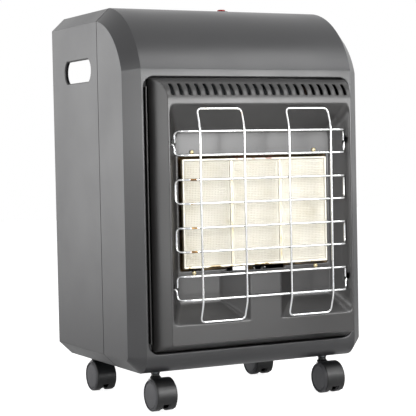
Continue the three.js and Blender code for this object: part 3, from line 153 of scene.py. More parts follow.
def powder_coat(name, light, dark, roughness):
    """Anthracite polyester powder coat on pressed steel, cured in an oven. It has a satin gloss, a
    faint orange peel about 1 mm across and slow changes of depth, with fine dust in its gloss."""
    material, tree, shader, place = finish(name, Roughness=roughness, IOR=1.6)
    drift = add(tree, "TexNoise", {"Vector": place}, Scale=per(90), Detail=3.0)
    grain = add(tree, "TexNoise", {"Vector": place}, Scale=per(1.1), Detail=2.0)
    mixed = add(tree, "Math", {0: drift, 1: grain}, operation="MULTIPLY_ADD", i2=0.25)
    tint = add(tree, "ValToRGB", {0: mixed}, ((0.35, dark), (0.65, light)))
    gloss = add(tree, "MapRange", {0: drift}, i1=0.3, i2=0.7, i3=roughness - 0.03, i4=roughness + 0.05)
    peel = add(tree, "Bump", {"Height": grain}, Strength=0.12, Distance=0.0004)
    feed(tree, shader, {"Base Color": tint, "Roughness": gloss, "Normal": peel})
    return material


def plated_steel(name, light, dark, roughness):
    """Zinc-plated sheet and bar. It has a cool grey spangle some millimetres across and a slightly
    cloudy shine."""
    material, tree, shader, place = finish(name, Metallic=1.0, Roughness=roughness)
    spangle = add(tree, "TexVoronoi", {"Vector": place}, Scale=per(6))
    tint = add(tree, "ValToRGB", {0: spangle.outputs["Color"]}, ((0.2, dark), (0.8, light)))
    haze = add(tree, "TexNoise", {"Vector": place}, Scale=per(12), Detail=4.0)
    gloss = add(tree, "MapRange", {0: haze}, i1=0.3, i2=0.7, i3=roughness - 0.06, i4=roughness + 0.1)
    cloud = add(tree, "Bump", {"Height": haze}, Strength=0.06, Distance=0.0005)
    feed(tree, shader, {"Base Color": tint, "Roughness": gloss, "Normal": cloud})
    return material


# where the burners were marked by the flames, and where painted shade darkens their walls, grooves and deep
# parts and the plaques' holes: the start and the end of each change
LOWER_RIM_Z = (at_height(157.5), at_height(160.5))
UPPER_RIM_Z = (at_height(317.5), at_height(318.0))
SPECKS_X = (30 * MM, 40 * MM)
WALL_SHADE_Y = (at_depth(-14.1), at_depth(-13.8))
DEEP_SHADE_Y = (at_depth(-10.6), at_depth(-7.6))
HOLE_SHADE_Y = (at_depth(-13.1), at_depth(-12.2))


def burner_metal(name):
    """Aluminised steel that has been hot. It is a warm satin white, with brown tints where it ran hottest, in
    patches along its lower edge, reddish specks at the middle of its upper edge, straw-coloured painted
    shade in its grooves and on its walls, and darker painted shade where it lies deep."""
    material, tree, shader, place = finish(name, Metallic=0.75, Roughness=0.42)
    axes = add(tree, "SeparateXYZ", {0: place})
    y, z = axes.outputs["Y"], axes.outputs["Z"]
    patches = add(tree, "TexNoise", {"Vector": place}, Scale=per(20), Detail=4.0)
    drift = add(tree, "MapRange", {0: patches}, i1=0.3, i2=0.7, i3=0.3, i4=0.48)
    low = add(tree, "MapRange", {0: z}, i1=LOWER_RIM_Z[0], i2=LOWER_RIM_Z[1], i3=1.0, i4=0.0)
    blotch = add(tree, "MapRange", {0: patches}, i1=0.47, i2=0.6, i3=0.0, i4=0.45)
    scorch = add(tree, "Math", {0: low, 1: blotch}, operation="MULTIPLY")
    # painted shade: straw-coloured on the frame's walls and in its bars' grooves, behind its front face
    sides = add(tree, "MapRange", {0: y}, i1=WALL_SHADE_Y[0], i2=WALL_SHADE_Y[1], i3=0.0, i4=0.23)
    # painted shade: darker still where the metal lies deep, towards the back
    deep = add(tree, "MapRange", {0: y}, i1=DEEP_SHADE_Y[0], i2=DEEP_SHADE_Y[1], i3=0.0, i4=0.26)
    tone_heat_and_shade = drift
    for layer in (scorch, sides, deep):
        tone_heat_and_shade = add(tree, "Math", {0: tone_heat_and_shade, 1: layer}, operation="ADD")
    stops = ((0.0, "#e9e6dc"), (0.52, "#e3dfd2"), (0.66, "#cdc09e"), (0.8, "#80694a"), (0.95, "#39332c"))
    tint = add(tree, "ValToRGB", {0: tone_heat_and_shade}, stops)
    beside = add(tree, "Math", {0: axes.outputs["X"]}, operation="ABSOLUTE")
    middle = add(tree, "MapRange", {0: beside}, i1=SPECKS_X[0], i2=SPECKS_X[1], i3=1.0, i4=0.0)
    upper = add(tree, "MapRange", {0: z}, i1=UPPER_RIM_Z[0], i2=UPPER_RIM_Z[1], i3=0.0, i4=1.0)
    fine = add(tree, "TexNoise", {"Vector": place}, Scale=per(7), Detail=3.0)
    specks = add(tree, "MapRange", {0: fine}, i1=0.5, i2=0.6, i3=0.0, i4=0.75)
    there = add(tree, "Math", {0: middle, 1: upper}, operation="MULTIPLY")
    marks = add(tree, "Math", {0: there, 1: specks}, operation="MULTIPLY")
    marked = add(tree, "Mix", {0: marks, 6: tint}, data_type="RGBA", i7=colour("#9a5a50"))
    ripple = add(tree, "Bump", {"Height": patches}, Strength=0.08, Distance=0.0004)
    feed(tree, shader, {"Base Color": marked.outputs[2], "Normal": ripple})
    return material


def plaque_ceramic(name):
    """Extruded cordierite plaque, fired and left unglazed. It is dry and cream, with painted shade a little
    darker in its holes, and tinted straw where it has been hottest. Its grit, about 0.2 mm, is drawn
    coarser so that it shows."""
    material, tree, shader, place = finish(name, Roughness=0.92)
    patches = add(tree, "TexNoise", {"Vector": place}, Scale=per(45), Detail=3.0)
    y = add(tree, "SeparateXYZ", {0: place}).outputs["Y"]
    # painted shade: a little darker towards the back of each flame hole
    hollow = add(tree, "MapRange", {0: y}, i1=HOLE_SHADE_Y[0], i2=HOLE_SHADE_Y[1], i3=0.0, i4=0.12)
    both = add(tree, "Math", {0: patches, 1: hollow}, operation="ADD")
    stops = ((0.35, "#f6f2e6"), (0.62, "#f0ebdc"), (0.85, "#d3c9aa"), (1.0, "#a89c79"))
    tint = add(tree, "ValToRGB", {0: both}, stops)
    grit = add(tree, "TexNoise", {"Vector": place}, Scale=per(0.6), Detail=2.0)
    rough = add(tree, "Bump", {"Height": grit}, Strength=0.3, Distance=0.0003)
    feed(tree, shader, {"Base Color": tint, "Normal": rough})
    return material


# the lengths of wire with a painted dark brown reflection: (axis, middle, half length, weight), in mm,
# at the left ends of the middle four cross wires
WIRE_DARK_REFLECTION = (("X", -124.5, 4.5, 0.4), ("Z", 236.7, 56.0, 1.0))
WIRE_DARK_REFLECTION_FADE = 1.5


def chromed_wire(name):
    """Nickel-chrome plated steel wire. It is bright and nearly white, with a painted dark brown reflection
    near the left ends of the middle cross wires and a faint unevenness of its gloss, drawn coarser than it
    is."""
    material, tree, shader, place = finish(name, Metallic=1.0, Roughness=0.16)
    patches = add(tree, "TexNoise", {"Vector": place}, Scale=per(30), Detail=2.0)
    axes = add(tree, "SeparateXYZ", {0: place})
    near = []
    for axis, middle, reach, weight in WIRE_DARK_REFLECTION:
        centre = at_height(middle) if axis == "Z" else middle * MM
        off = add(tree, "Math", {0: axes.outputs[axis]}, operation="ADD", i1=-centre)
        away = add(tree, "Math", {0: off}, operation="ABSOLUTE")
        end = (reach + WIRE_DARK_REFLECTION_FADE) * MM
        near.append(add(tree, "MapRange", {0: away}, i1=reach * MM, i2=end, i3=weight, i4=0.0))
    # painted reflection: dark brown where both the X and the Z windows hold
    dark_reflection = add(tree, "Math", {0: near[0], 1: near[1]}, operation="MULTIPLY")
    tone_and_reflection = add(tree, "Math", {0: patches, 1: dark_reflection}, operation="ADD")
    stops = ((0.0, "#dcdfe4"), (0.7, "#dddddc"), (0.77, "#a98d63"), (0.9, "#5a4128"))
    tint = add(tree, "ValToRGB", {0: tone_and_reflection}, stops)
    grain = add(tree, "TexNoise", {"Vector": place}, Scale=per(0.8), Detail=2.0)
    gloss = add(tree, "MapRange", {0: grain}, i1=0.3, i2=0.7, i3=0.1, i4=0.24)
    feed(tree, shader, {"Base Color": tint, "Roughness": gloss})
    return material


def soft_metal(name, light, dark, roughness):
    """Brass or copper, turned or drawn. It is warm, with darker tarnish in soft patches and fine
    tool lines."""
    material, tree, shader, place = finish(name, Metallic=1.0, Roughness=roughness)
    tarnish = add(tree, "TexNoise", {"Vector": place}, Scale=per(8), Detail=4.0)
    tint = add(tree, "ValToRGB", {0: tarnish}, ((0.35, dark), (0.6, light)))
    lines = add(tree, "TexWave", {"Vector": place}, Scale=per(4), Distortion=1.0, Detail=1.0)
    cuts = add(tree, "Bump", {"Height": lines}, Strength=0.05, Distance=0.0002)
    feed(tree, shader, {"Base Color": tint, "Normal": cuts})
    return material


def moulded_plastic(name, light, dark, roughness, grain_size):
    """Moulded ABS or nylon. It has a spark-eroded grain, whose size is in mm, a soft gloss and a
    little fading. The real grain, under 0.1 mm, is drawn coarser so that it shows."""
    material, tree, shader, place = finish(name, Roughness=roughness)
    shade = add(tree, "TexNoise", {"Vector": place}, Scale=per(20), Detail=3.0)
    tint = add(tree, "ValToRGB", {0: shade}, ((0.35, dark), (0.65, light)))
    grain = add(tree, "TexNoise", {"Vector": place}, Scale=per(grain_size), Detail=2.0)
    gloss = add(tree, "MapRange", {0: grain}, i1=0.3, i2=0.7, i3=roughness - 0.06, i4=roughness + 0.08)
    skin = add(tree, "Bump", {"Height": grain}, Strength=0.2, Distance=grain_size * MM / 3)
    feed(tree, shader, {"Base Color": tint, "Roughness": gloss, "Normal": skin})
    return material


coat = powder_coat("powder_coated_steel_casing", "#303032", "#2a2a2c", 0.32)
panel_coat = powder_coat("powder_coated_steel_panel", "#313030", "#2b2a2a", 0.31)
zinc = plated_steel("zinc_plated_steel", "#8d9195", "#74787c", 0.48)
burner_steel = burner_metal("aluminised_steel")
ceramic = plaque_ceramic("cordierite_ceramic")
wire = chromed_wire("chromed_steel_wire")
pilot_steel = plated_steel("bright_plated_steel", "#e4e5e6", "#c9cbcd", 0.3)
# painted shade: the heat shield inside the cabinet is drawn dark so that it stands for the shade in there
shield_steel = plated_steel("shade_darkened_shield_steel", "#4a4c4e", "#393b3d", 0.55)
brass = soft_metal("turned_brass", "#e2d8b8", "#c2b48a", 0.34)
copper = soft_metal("drawn_copper", "#8f5f48", "#6a4331", 0.42)
# painted shade: the gas pipes inside the cabinet are drawn dark so that they stand for the shade in there
dark_copper = soft_metal("shade_darkened_copper", "#3f3029", "#30251f", 0.6)
black_plastic = moulded_plastic("black_nylon", "#161617", "#0f0f10", 0.36, 0.7)
grey_plastic = moulded_plastic("charcoal_nylon", "#4b4b4e", "#434346", 0.5, 0.9)
red_plastic = moulded_plastic("red_polycarbonate", "#b3221d", "#a01a17", 0.3, 0.6)
glazed = moulded_plastic("glazed_alumina", "#f6f5f0", "#ebe8de", 0.25, 0.8)
silicone = moulded_plastic("red_silicone_sleeve", "#93302a", "#7d2722", 0.55, 0.9)
mark_white = moulded_plastic("white_marking_enamel", "#e9e9e6", "#dcdcd8", 0.4, 0.7)

SLOT_FINISH = {
    "coat": coat,
    "panel_coat": panel_coat,
    "zinc": zinc,
    "burner_steel": burner_steel,
    "plaque_ceramic": ceramic,
    "chrome_wire": wire,
    "brass": brass,
    "copper": copper,
    "black_plastic": black_plastic,
    "grey_plastic": grey_plastic,
    "red_plastic": red_plastic,
    "white_ceramic": glazed,
    "lead_rubber": silicone,
}
OWN_FINISH = {
    "heat_shield": shield_steel,
    "pilot_bracket": pilot_steel,
    "feed_pipe": dark_copper,
    "pilot_pipe": dark_copper,
}


def finish_cad_nodes():
    """Every node of the frame takes its own finish, or that of the slot which the record gives it."""
    for part in frame["record"]["subparts"]:
        mesh = frame["nodes"][part["node"]].data
        mesh.materials.clear()
        mesh.materials.append(OWN_FINISH.get(part["node"]) or SLOT_FINISH[part["material_slot"]])


# ---------------------------------------------------------------- surfaces

WELD = 0.01  # corners nearer than this, in mm, are one


def grid(points):
    """The corners and four-sided faces of a surface given as rows by columns of points."""
    rows, cols = points.shape[:2]
    index = np.arange(rows * cols).reshape(rows, cols)
    faces = np.stack([index[:-1, :-1], index[:-1, 1:], index[1:, 1:], index[1:, :-1]], -1)
    return points.reshape(-1, 3), faces.reshape(-1, 4)


def filled(outer, holes=()):
    """A flat region inside an outline and outside its holes, as corners and triangles."""
    loops = [np.asarray(outer, float), *[np.asarray(hole, float) for hole in holes]]
    triangles = tessellate_polygon([[Vector(p) for p in loop] for loop in loops])
    return np.concatenate(loops), np.array(triangles)


def welded(patches):
    """The patches as one surface: corners that meet become one, and faces that close up go."""
    points = np.concatenate([p for p, _ in patches])
    starts = np.cumsum([0] + [len(p) for p, _ in patches[:-1]])
    keys = np.round(points / WELD + 0.1371).astype(np.int64)
    _, first, place = np.unique(keys, axis=0, return_index=True, return_inverse=True)
    place = place.reshape(-1)
    faces = []
    for (_, part), start in zip(patches, starts):
        for face in place[part + start].tolist():
            kept = [c for i, c in enumerate(face) if c != face[i - 1]]
            if len(set(kept)) == len(kept) > 2:
                faces.append(kept)
    return points[first], faces


def mesh_of(name, points, faces):
    """A mesh in the frame, in metres."""
    mesh = bpy.data.meshes.new(name)
    placed = (points + np.array([0, -FRONT_PLANE, FLOOR_GAP])) * MM
    mesh.from_pydata(placed, [], faces)
    mesh.update()
    return mesh


def turn_outwards(mesh, outside):
    """Makes the faces agree with each other, and then point to the given side: a direction, or None
    for a closed surface."""
    work = bmesh.new()
    work.from_mesh(mesh)
    bmesh.ops.recalc_face_normals(work, faces=work.faces)
    if outside is not None:
        towards = Vector(outside)
        if sum(face.calc_area() * face.normal.dot(towards) for face in work.faces) < 0:
            bmesh.ops.reverse_faces(work, faces=work.faces)
    work.to_mesh(mesh)
    work.free()


def piece(name, patches, material, body, nodes=(), outside=None, wall=0, bevels=(), sharp=34):
    """A finished piece from its patches, in mm. wall is the sheet's thickness behind the surface,
    and bevels are (width in mm, steps) that round its sharp edges, before and after the wall."""
    points, faces = welded(patches)
    mesh = mesh_of(name, points, faces)
    turn_outwards(mesh, outside)
    mesh.shade_smooth()
    made = bpy.data.objects.new(name, mesh)
    bpy.context.scene.collection.objects.link(made)
    mesh.materials.append(material)

    def soften(width, steps):
        """Rounds the edges that are sharper than the given angle."""
        bevel = made.modifiers.new("soft edges", "BEVEL")
        bevel.width = width * MM
        bevel.segments = steps
        bevel.limit_method = "ANGLE"
        bevel.angle_limit = math.radians(sharp)
        bevel.use_clamp_overlap = True

    if bevels:
        soften(*bevels[0])
    if wall:
        solid = made.modifiers.new("sheet", "SOLIDIFY")
        solid.thickness = wall * MM
        solid.offset = -1
        solid.use_even_offset = True
    if len(bevels) > 1:
        soften(*bevels[1])
    mesh.set_sharp_from_angle(angle=math.radians(sharp))
    if bevels:
        flat = made.modifiers.new("flat faces stay flat", "WEIGHTED_NORMAL")
        flat.weight = 100
        flat.keep_sharp = False
    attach(made, body)
    if nodes:
        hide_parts(*nodes)
    return made


def rounded(half_x, low, high, corner, steps, middles=(0, 0)):
    """A rounded rectangle in (x, z), anticlockwise from the middle of its right side: each corner is
    an arc of steps, and each straight has some points between (upright sides, level sides)."""
    centre_x, low_z, high_z = half_x - corner, low + corner, high - corner
    turn = np.linspace(0, math.pi / 2, steps + 1)
    corners = [(centre_x, high_z, 0), (-centre_x, high_z, 1), (-centre_x, low_z, 2), (centre_x, low_z, 3)]
    loop = []
    for number, (x, z, quarter) in enumerate(corners):
        angle = turn + quarter * math.pi / 2
        arc = np.stack([x + corner * np.cos(angle), z + corner * np.sin(angle)], -1)
        loop.append(arc)
        next_x, next_z, next_quarter = corners[(number + 1) % 4]
        start = arc[-1]
        end_angle = next_quarter * math.pi / 2
        end = np.array([next_x + corner * math.cos(end_angle), next_z + corner * math.sin(end_angle)])
        count = middles[(number + 1) % 2]
        share = np.linspace(0, 1, count + 2)[1:-1, None]
        loop.append(start + (end - start) * share)
    return np.concatenate(loop)


def quarter(radius, steps):
    """A quarter round as (run, rise) pairs: r(1 - sin a) against r(1 - cos a)."""
    angles = np.linspace(0, math.pi / 2, steps)
    return [(radius * (1 - math.sin(a)), radius * (1 - math.cos(a))) for a in angles]


def lifted(loop, y):
    """An (x, z) loop as points at depth y."""
    return np.stack([loop[:, 0], np.full(len(loop), float(y)), loop[:, 1]], -1)


def closed_rows(rows):
    """Rows of points that each come round to their start."""
    rows = np.asarray(rows, float)
    return np.concatenate([rows, rows[:, :1]], 1)


def spaced(low, high, count, focus, lines=()):
    """Places along a span, crowded about each focus (place, width, weight) by a sum of bell curves,
    with the nearest place moved onto each line."""
    fine = np.linspace(low, high, 6000)
    density = np.ones_like(fine)
    for place, width, weight in focus:
        density += weight * np.exp(-(((fine - place) / width) ** 2))
    reach = np.concatenate([[0], np.cumsum((density[1:] + density[:-1]) / 2)])
    places = np.interp(np.linspace(0, reach[-1], count), reach, fine)
    for line in lines:
        places[np.argmin(np.abs(places - line))] = line
    return places


def smooth_max(a, b, reach):
    """The larger of two heights, with a rounded valley where they are within reach of each other."""
    share = np.clip(0.5 + 0.5 * (a - b) / reach, 0, 1)
    return b + (a - b) * share + reach * share * (1 - share)


def smooth_min(a, b, reach):
    """The smaller of two heights, rounded as smooth_max is."""
    return -smooth_max(-np.asarray(a, float), -np.asarray(b, float), reach)


# ---------------------------------------------------------------- cabinet

BODY_HALF = 205.0
BODY_DEPTH = 298.0
BODY_HEIGHT = 554.0
CHAMFER_ACROSS = 22.0
CHAMFER_IN = 21.0
SHOULDER = BODY_HALF - CHAMFER_ACROSS
ARCH_BASE = 454.0
ARCH_DEPTH = 111.0
ARCH_RADIUS = 135.0
BOTTOM_ROLL = 28.0
SHEET = 1.5
SEAM_PLACE = 111.0
SEAM_GAP = 1.6
BOTTOM_LIP = 15.0
BOTTOM_FRONT = 30.0
MOUTH_HALF = 178.5
MOUTH_LOW = 31.0
MOUTH_HIGH = 442.5
MOUTH_CORNER = 16.0
MOUTH_RETURN = 8.0
ROLLED_EDGE = 2.4  # radius of the edge folded back round the mouth
CREASE = 1.6  # length over which the slight crease under the arch turns
ROLL_STEPS, ARCH_STEPS, CORNER_STEPS = 13, 34, 13
STRAIGHT_STEPS = (40, 46)  # along the mouth's level and upright sides


def ring_outside(loop, half, low, high, centre_half, centre_low, centre_high):
    """For each point of a rounded rectangle, the point of the rectangle round it: straight across
    from a straight side, and along the ray from the corner's centre at a corner."""
    x, z = loop[:, 0], loop[:, 1]
    cx = np.clip(x, -centre_half, centre_half)
    cz = np.clip(z, centre_low, centre_high)
    dx, dz = x - cx, z - cz
    with np.errstate(divide="ignore", invalid="ignore"):
        reach_x = np.where(np.abs(dx) > 1e-9, (half - np.abs(cx)) / np.abs(dx), np.inf)
        edge_z = np.where(dz > 0, high - cz, cz - low)
        reach_z = np.where(np.abs(dz) > 1e-9, edge_z / np.abs(dz), np.inf)
    reach = np.minimum(reach_x, reach_z)[:, None]
    return np.stack([cx, cz], -1) + np.stack([dx, dz], -1) * reach


def mouth_rings():
    """Rings from the flat front's border in to the mouth, over its rolled edge and back: the
    outline's offset goes down with the cosine of the roll while its depth goes up with the sine."""
    corner_x = MOUTH_HALF - MOUTH_CORNER
    corner_low, corner_high = MOUTH_LOW + MOUTH_CORNER, MOUTH_HIGH - MOUTH_CORNER
    # the arcs' steps include the two directions that meet the border's own corners
    up = math.atan2(ARCH_BASE - corner_high, SHOULDER - corner_x)
    down = math.atan2(corner_low - BOTTOM_ROLL, SHOULDER - corner_x)
    arcs = []
    for angle in (up, down):
        turn = np.linspace(0, math.pi / 2, CORNER_STEPS)
        turn[np.argmin(np.abs(turn - angle))] = angle
        arcs.append(turn)
    upper, lower = arcs

    def outline(grow):
        """The mouth's rounded rectangle, grown outwards."""
        radius = MOUTH_CORNER + grow

        def arc(x, z, angles):
            """A corner's arc about its centre."""
            return np.stack([x + radius * np.cos(angles), z + radius * np.sin(angles)], -1)

        def between(start, end, count):
            """Evenly spaced points between two corners."""
            return start + (end - start) * np.linspace(0, 1, count + 2)[1:-1, None]

        corners = [
            arc(corner_x, corner_high, upper),
            arc(-corner_x, corner_high, (math.pi - upper)[::-1]),
            arc(-corner_x, corner_low, math.pi + lower),
            arc(corner_x, corner_low, (2 * math.pi - lower)[::-1]),
        ]
        loop = []
        for number, corner in enumerate(corners):
            loop += [corner, between(corner[-1], corners[(number + 1) % 4][0], STRAIGHT_STEPS[number % 2])]
        return np.concatenate(loop)

    mouth = outline(0)
    border = ring_outside(mouth, SHOULDER, BOTTOM_ROLL, ARCH_BASE, corner_x, corner_low, corner_high)
    rolled = [lifted(outline(grow), y) for grow, y in quarter(ROLLED_EDGE, 7)]
    return border, [lifted(border, 0), *rolled, lifted(mouth, MOUTH_RETURN)]


def arch_centre():
    """Centre of the arc of the given radius through the top of the flat front and the start of the
    flat top."""
    rise = BODY_HEIGHT - ARCH_BASE
    chord = math.hypot(ARCH_DEPTH, rise)
    away = math.sqrt(ARCH_RADIUS**2 - chord**2 / 4) / chord
    return ARCH_DEPTH / 2 + rise * away, ARCH_BASE + rise / 2 - ARCH_DEPTH * away


def front_side_view(front_heights, inset):
    """Side view of the front casing as (y, z) from its bottom back edge up and over to the seam, set
    in by inset along its normals: a line, the bottom roll's arc, the front and the arch's arc."""
    seam = SEAM_PLACE - SEAM_GAP / 2
    turn = np.linspace(math.pi / 2, 0, ROLL_STEPS)
    radius = BOTTOM_ROLL - inset
    roll = np.stack([BOTTOM_ROLL - radius * np.cos(turn), BOTTOM_ROLL - radius * np.sin(turn)], -1)
    bottom = np.array([[seam, inset], [BOTTOM_FRONT, inset]])
    flat = np.stack([np.full(len(front_heights), inset), front_heights], -1)[1:-1]
    centre_y, centre_z = arch_centre()
    arc_radius = ARCH_RADIUS - inset
    start = math.acos((inset - centre_y) / arc_radius)
    end = math.acos((seam - centre_y) / arc_radius)
    angles = np.linspace(start, end, ARCH_STEPS)
    angles = np.insert(angles, 1, start - CREASE / ARCH_RADIUS)
    arch = np.stack([centre_y + arc_radius * np.cos(angles), centre_z + arc_radius * np.sin(angles)], -1)
    return np.concatenate([bottom, roll, flat, arch])


def front_casing_sheet():
    """The front casing: its side view carried across between the shoulders, chamfered to flat
    sides, with the mouth's rings in place of the flat front."""
    border, rings = mouth_rings()
    heights = np.unique(np.round(border[np.abs(border[:, 0] - SHOULDER) < 1e-6, 1], 6))
    columns = np.unique(np.round(border[np.abs(border[:, 1] - ARCH_BASE) < 1e-6, 0], 6))
    low_columns = np.unique(np.round(border[np.abs(border[:, 1] - BOTTOM_ROLL) < 1e-6, 0], 6))
    outer = front_side_view(heights, 0)
    inner = front_side_view(heights, CHAMFER_IN)
    patches = [grid(closed_rows(rings))]

    def across(rows, xs):
        """The (y, z) rows carried straight across over the given xs."""
        return grid(np.stack(np.broadcast_arrays(xs, rows[:, :1], rows[:, 1:]), -1))

    roll_end = 2 + ROLL_STEPS
    arch_start = roll_end + len(heights) - 2
    patches.append(across(outer[arch_start:], columns))
    patches.append(across(outer[1:roll_end], low_columns))
    for side in (-1, 1):
        lip = np.array([SHOULDER - BOTTOM_LIP, SHOULDER]) * side
        patches.append(across(outer[:2], lip))
        edge = np.stack([np.full(len(outer), side * SHOULDER), outer[:, 0], outer[:, 1]], -1)
        flat = np.stack([np.full(len(inner), side * BODY_HALF), inner[:, 0], inner[:, 1]], -1)
        patches.append(grid(np.stack([edge, flat], 1)))
        patches.append(filled(flat))
    return piece(
        "front_casing_sheet", patches, coat, "cabinet", ["front_casing"],
        outside=(0, -1, 0.3), wall=SHEET, bevels=((1.4, 3), (0.25, 2)),
    )


HAND_HOLE_LENGTH = 106.0
HAND_HOLE_HEIGHT = 34.6
HAND_HOLE_Y = 191.3
HAND_HOLE_Z = 460.7
HAND_HOLE_END = 20.0
HAND_HOLE_RETURN = 6.0
REAR_FLANGE = 18.0
LAP_GAP = 0.7  # between the rear cover's wall and the lap that backs the seam
LAP_REACH = 11.0
CONTROL = (-4.0, 150.0, 128.0, 206.0, 10.0)  # left, right, front, back and corner of its opening


def hand_hole(grow):
    """A hand hole's outline in (y, z): flat above and below, with an arc at each end that bulges
    past the corners."""
    rise = HAND_HOLE_HEIGHT / 2 + grow
    radius = HAND_HOLE_END + grow
    inset = HAND_HOLE_LENGTH / 2 + grow - radius
    swing = math.asin(rise / radius)
    angles = np.linspace(-swing, swing, 17)
    end = np.stack([inset + radius * np.cos(angles), radius * np.sin(angles)], -1)
    return np.concatenate([end, -end]) + (HAND_HOLE_Y, HAND_HOLE_Z)


def control_opening(grow, z):
    """The controls' opening in the top, a rounded rectangle in (x, y), at height z."""
    left, right, front, back, corner = CONTROL
    flat = rounded((right - left) / 2 + grow, front - grow, back + grow, corner + grow, 8)
    return np.stack([flat[:, 0] + (left + right) / 2, flat[:, 1], np.full(len(flat), float(z))], -1)


def rear_cover_sheet():
    """The rear cover: an eight-sided section carried to the back, where a flange turns in, with a
    hand hole folded in at each side, an opening for the controls and a joggled lap under the seam."""
    front, back = SEAM_PLACE + SEAM_GAP / 2, BODY_DEPTH
    low, high = CHAMFER_IN, BODY_HEIGHT - CHAMFER_IN
    patches = []
    ends = np.array([front, back])

    def strip(corners):
        """A strip along the cover's length through (x, z) corners."""
        rows = np.array([[(x, y, z) for y in ends] for x, z in corners])
        patches.append(grid(rows))

    for side in (-1, 1):
        strip([(side * (SHOULDER - BOTTOM_LIP), 0), (side * SHOULDER, 0), (side * BODY_HALF, low)])
        strip([(side * BODY_HALF, high), (side * SHOULDER, BODY_HEIGHT)])
        corners = [(front, low), (back, low), (back, high), (front, high)]
        outer = np.array([(side * BODY_HALF, y, z) for y, z in corners])

        def on_side(loop, inwards):
            """An outline in (y, z) as points some way in from this side's face."""
            return np.insert(loop, 0, side * (BODY_HALF - inwards), 1)

        rows = [on_side(hand_hole(grow), inwards) for grow, inwards in quarter(ROLLED_EDGE, 6)]
        rows.append(on_side(hand_hole(0), HAND_HOLE_RETURN))
        patches.append(filled(outer, [rows[0]]))
        patches.append(grid(closed_rows(rows)))
    top = np.array([(-SHOULDER, front), (SHOULDER, front), (SHOULDER, back), (-SHOULDER, back)])
    top = np.concatenate([top, np.full((4, 1), BODY_HEIGHT)], 1)
    patches.append(filled(top, [control_opening(0, BODY_HEIGHT)]))
    half = BODY_HALF - REAR_FLANGE
    opening = rounded(half, REAR_FLANGE, BODY_HEIGHT - REAR_FLANGE, CHAMFER_ACROSS, 8)
    section = [(SHOULDER - BOTTOM_LIP, 0), (SHOULDER, 0), (BODY_HALF, low), (BODY_HALF, high)]
    section += [(SHOULDER, BODY_HEIGHT)]
    section += [(-x, z) for x, z in section[::-1]]
    patches.append(filled(lifted(np.array(section), back), [lifted(opening, back)]))
    inner = SHEET + LAP_GAP
    lap = np.array([SEAM_PLACE - LAP_REACH, SEAM_PLACE + LAP_REACH])
    ring = [(SHOULDER - 2, inner), (SHOULDER - 1, inner), (BODY_HALF - inner, low + 1)]
    ring += [(BODY_HALF - inner, high - 1), (SHOULDER - 1, BODY_HEIGHT - inner)]
    ring += [(-x, z) for x, z in ring[::-1]]
    patches.append(grid(np.array([[(x, y, z) for y in lap] for x, z in ring])))
    return piece(
        "rear_cover_sheet", patches, coat, "cabinet", ["rear_cover"],
        outside=(0, 1, 0.4), wall=SHEET, bevels=((1.4, 3), (0.25, 2)),
    )


# ---------------------------------------------------------------- front panel

PROUD = -37.5
PANEL_HALF = 158.5
PANEL_FLARE = 10.0
PANEL_FLAT_TOP = 407.5
PANEL_TOP = 440.5
PANEL_ARCH_DEPTH = 42.5
PANEL_FLAT_BOTTOM = 46.0
PANEL_BOTTOM = 34.0
PANEL_BACK = 9.8
FLANGE = (184.0, 24.5, 448.5)
RECESS_MOUTH = (155.6, 75.5, 400.6)
RECESS_BACK = (134.0, 105.0, 360.5)
RECESS_BACK_Y = -8.0
COLUMN_FRONT = (27.5, 146.0)
COLUMN_BACK = (62.0, 147.5)
COLUMN_TOP = 146.7
WINDOW = (128.85, 152.9, 323.1)
NOTCH = (50.0, 149.0)
HOOK_HOLE_LOWS = (126.4, 339.4)
HOOK_HOLE_HEIGHT = 10.0
HOOK_HOLE_X = (147.5, 152.7)
SLOT_COUNT = 22
SLOT_PITCH = 14.17
SLOT_HALF = 2.8
SLOT_ANGLES = (math.radians(11), math.radians(48))
SLOT_END_ROOM = 3.0  # metal past each end of a slot in the slot's own ring
PANEL_SHEET = 1.3
# how far each pressed edge or valley is rounded
FLARE_CORNER = 9.0
FRONT_EDGE = 1.8
RECESS_CORNER = 12.0
RECESS_FOOT = 2.2
COLUMN_EDGE = 5.0
COLUMN_FOOT = 2.6
MOUTH_EDGE = 1.6


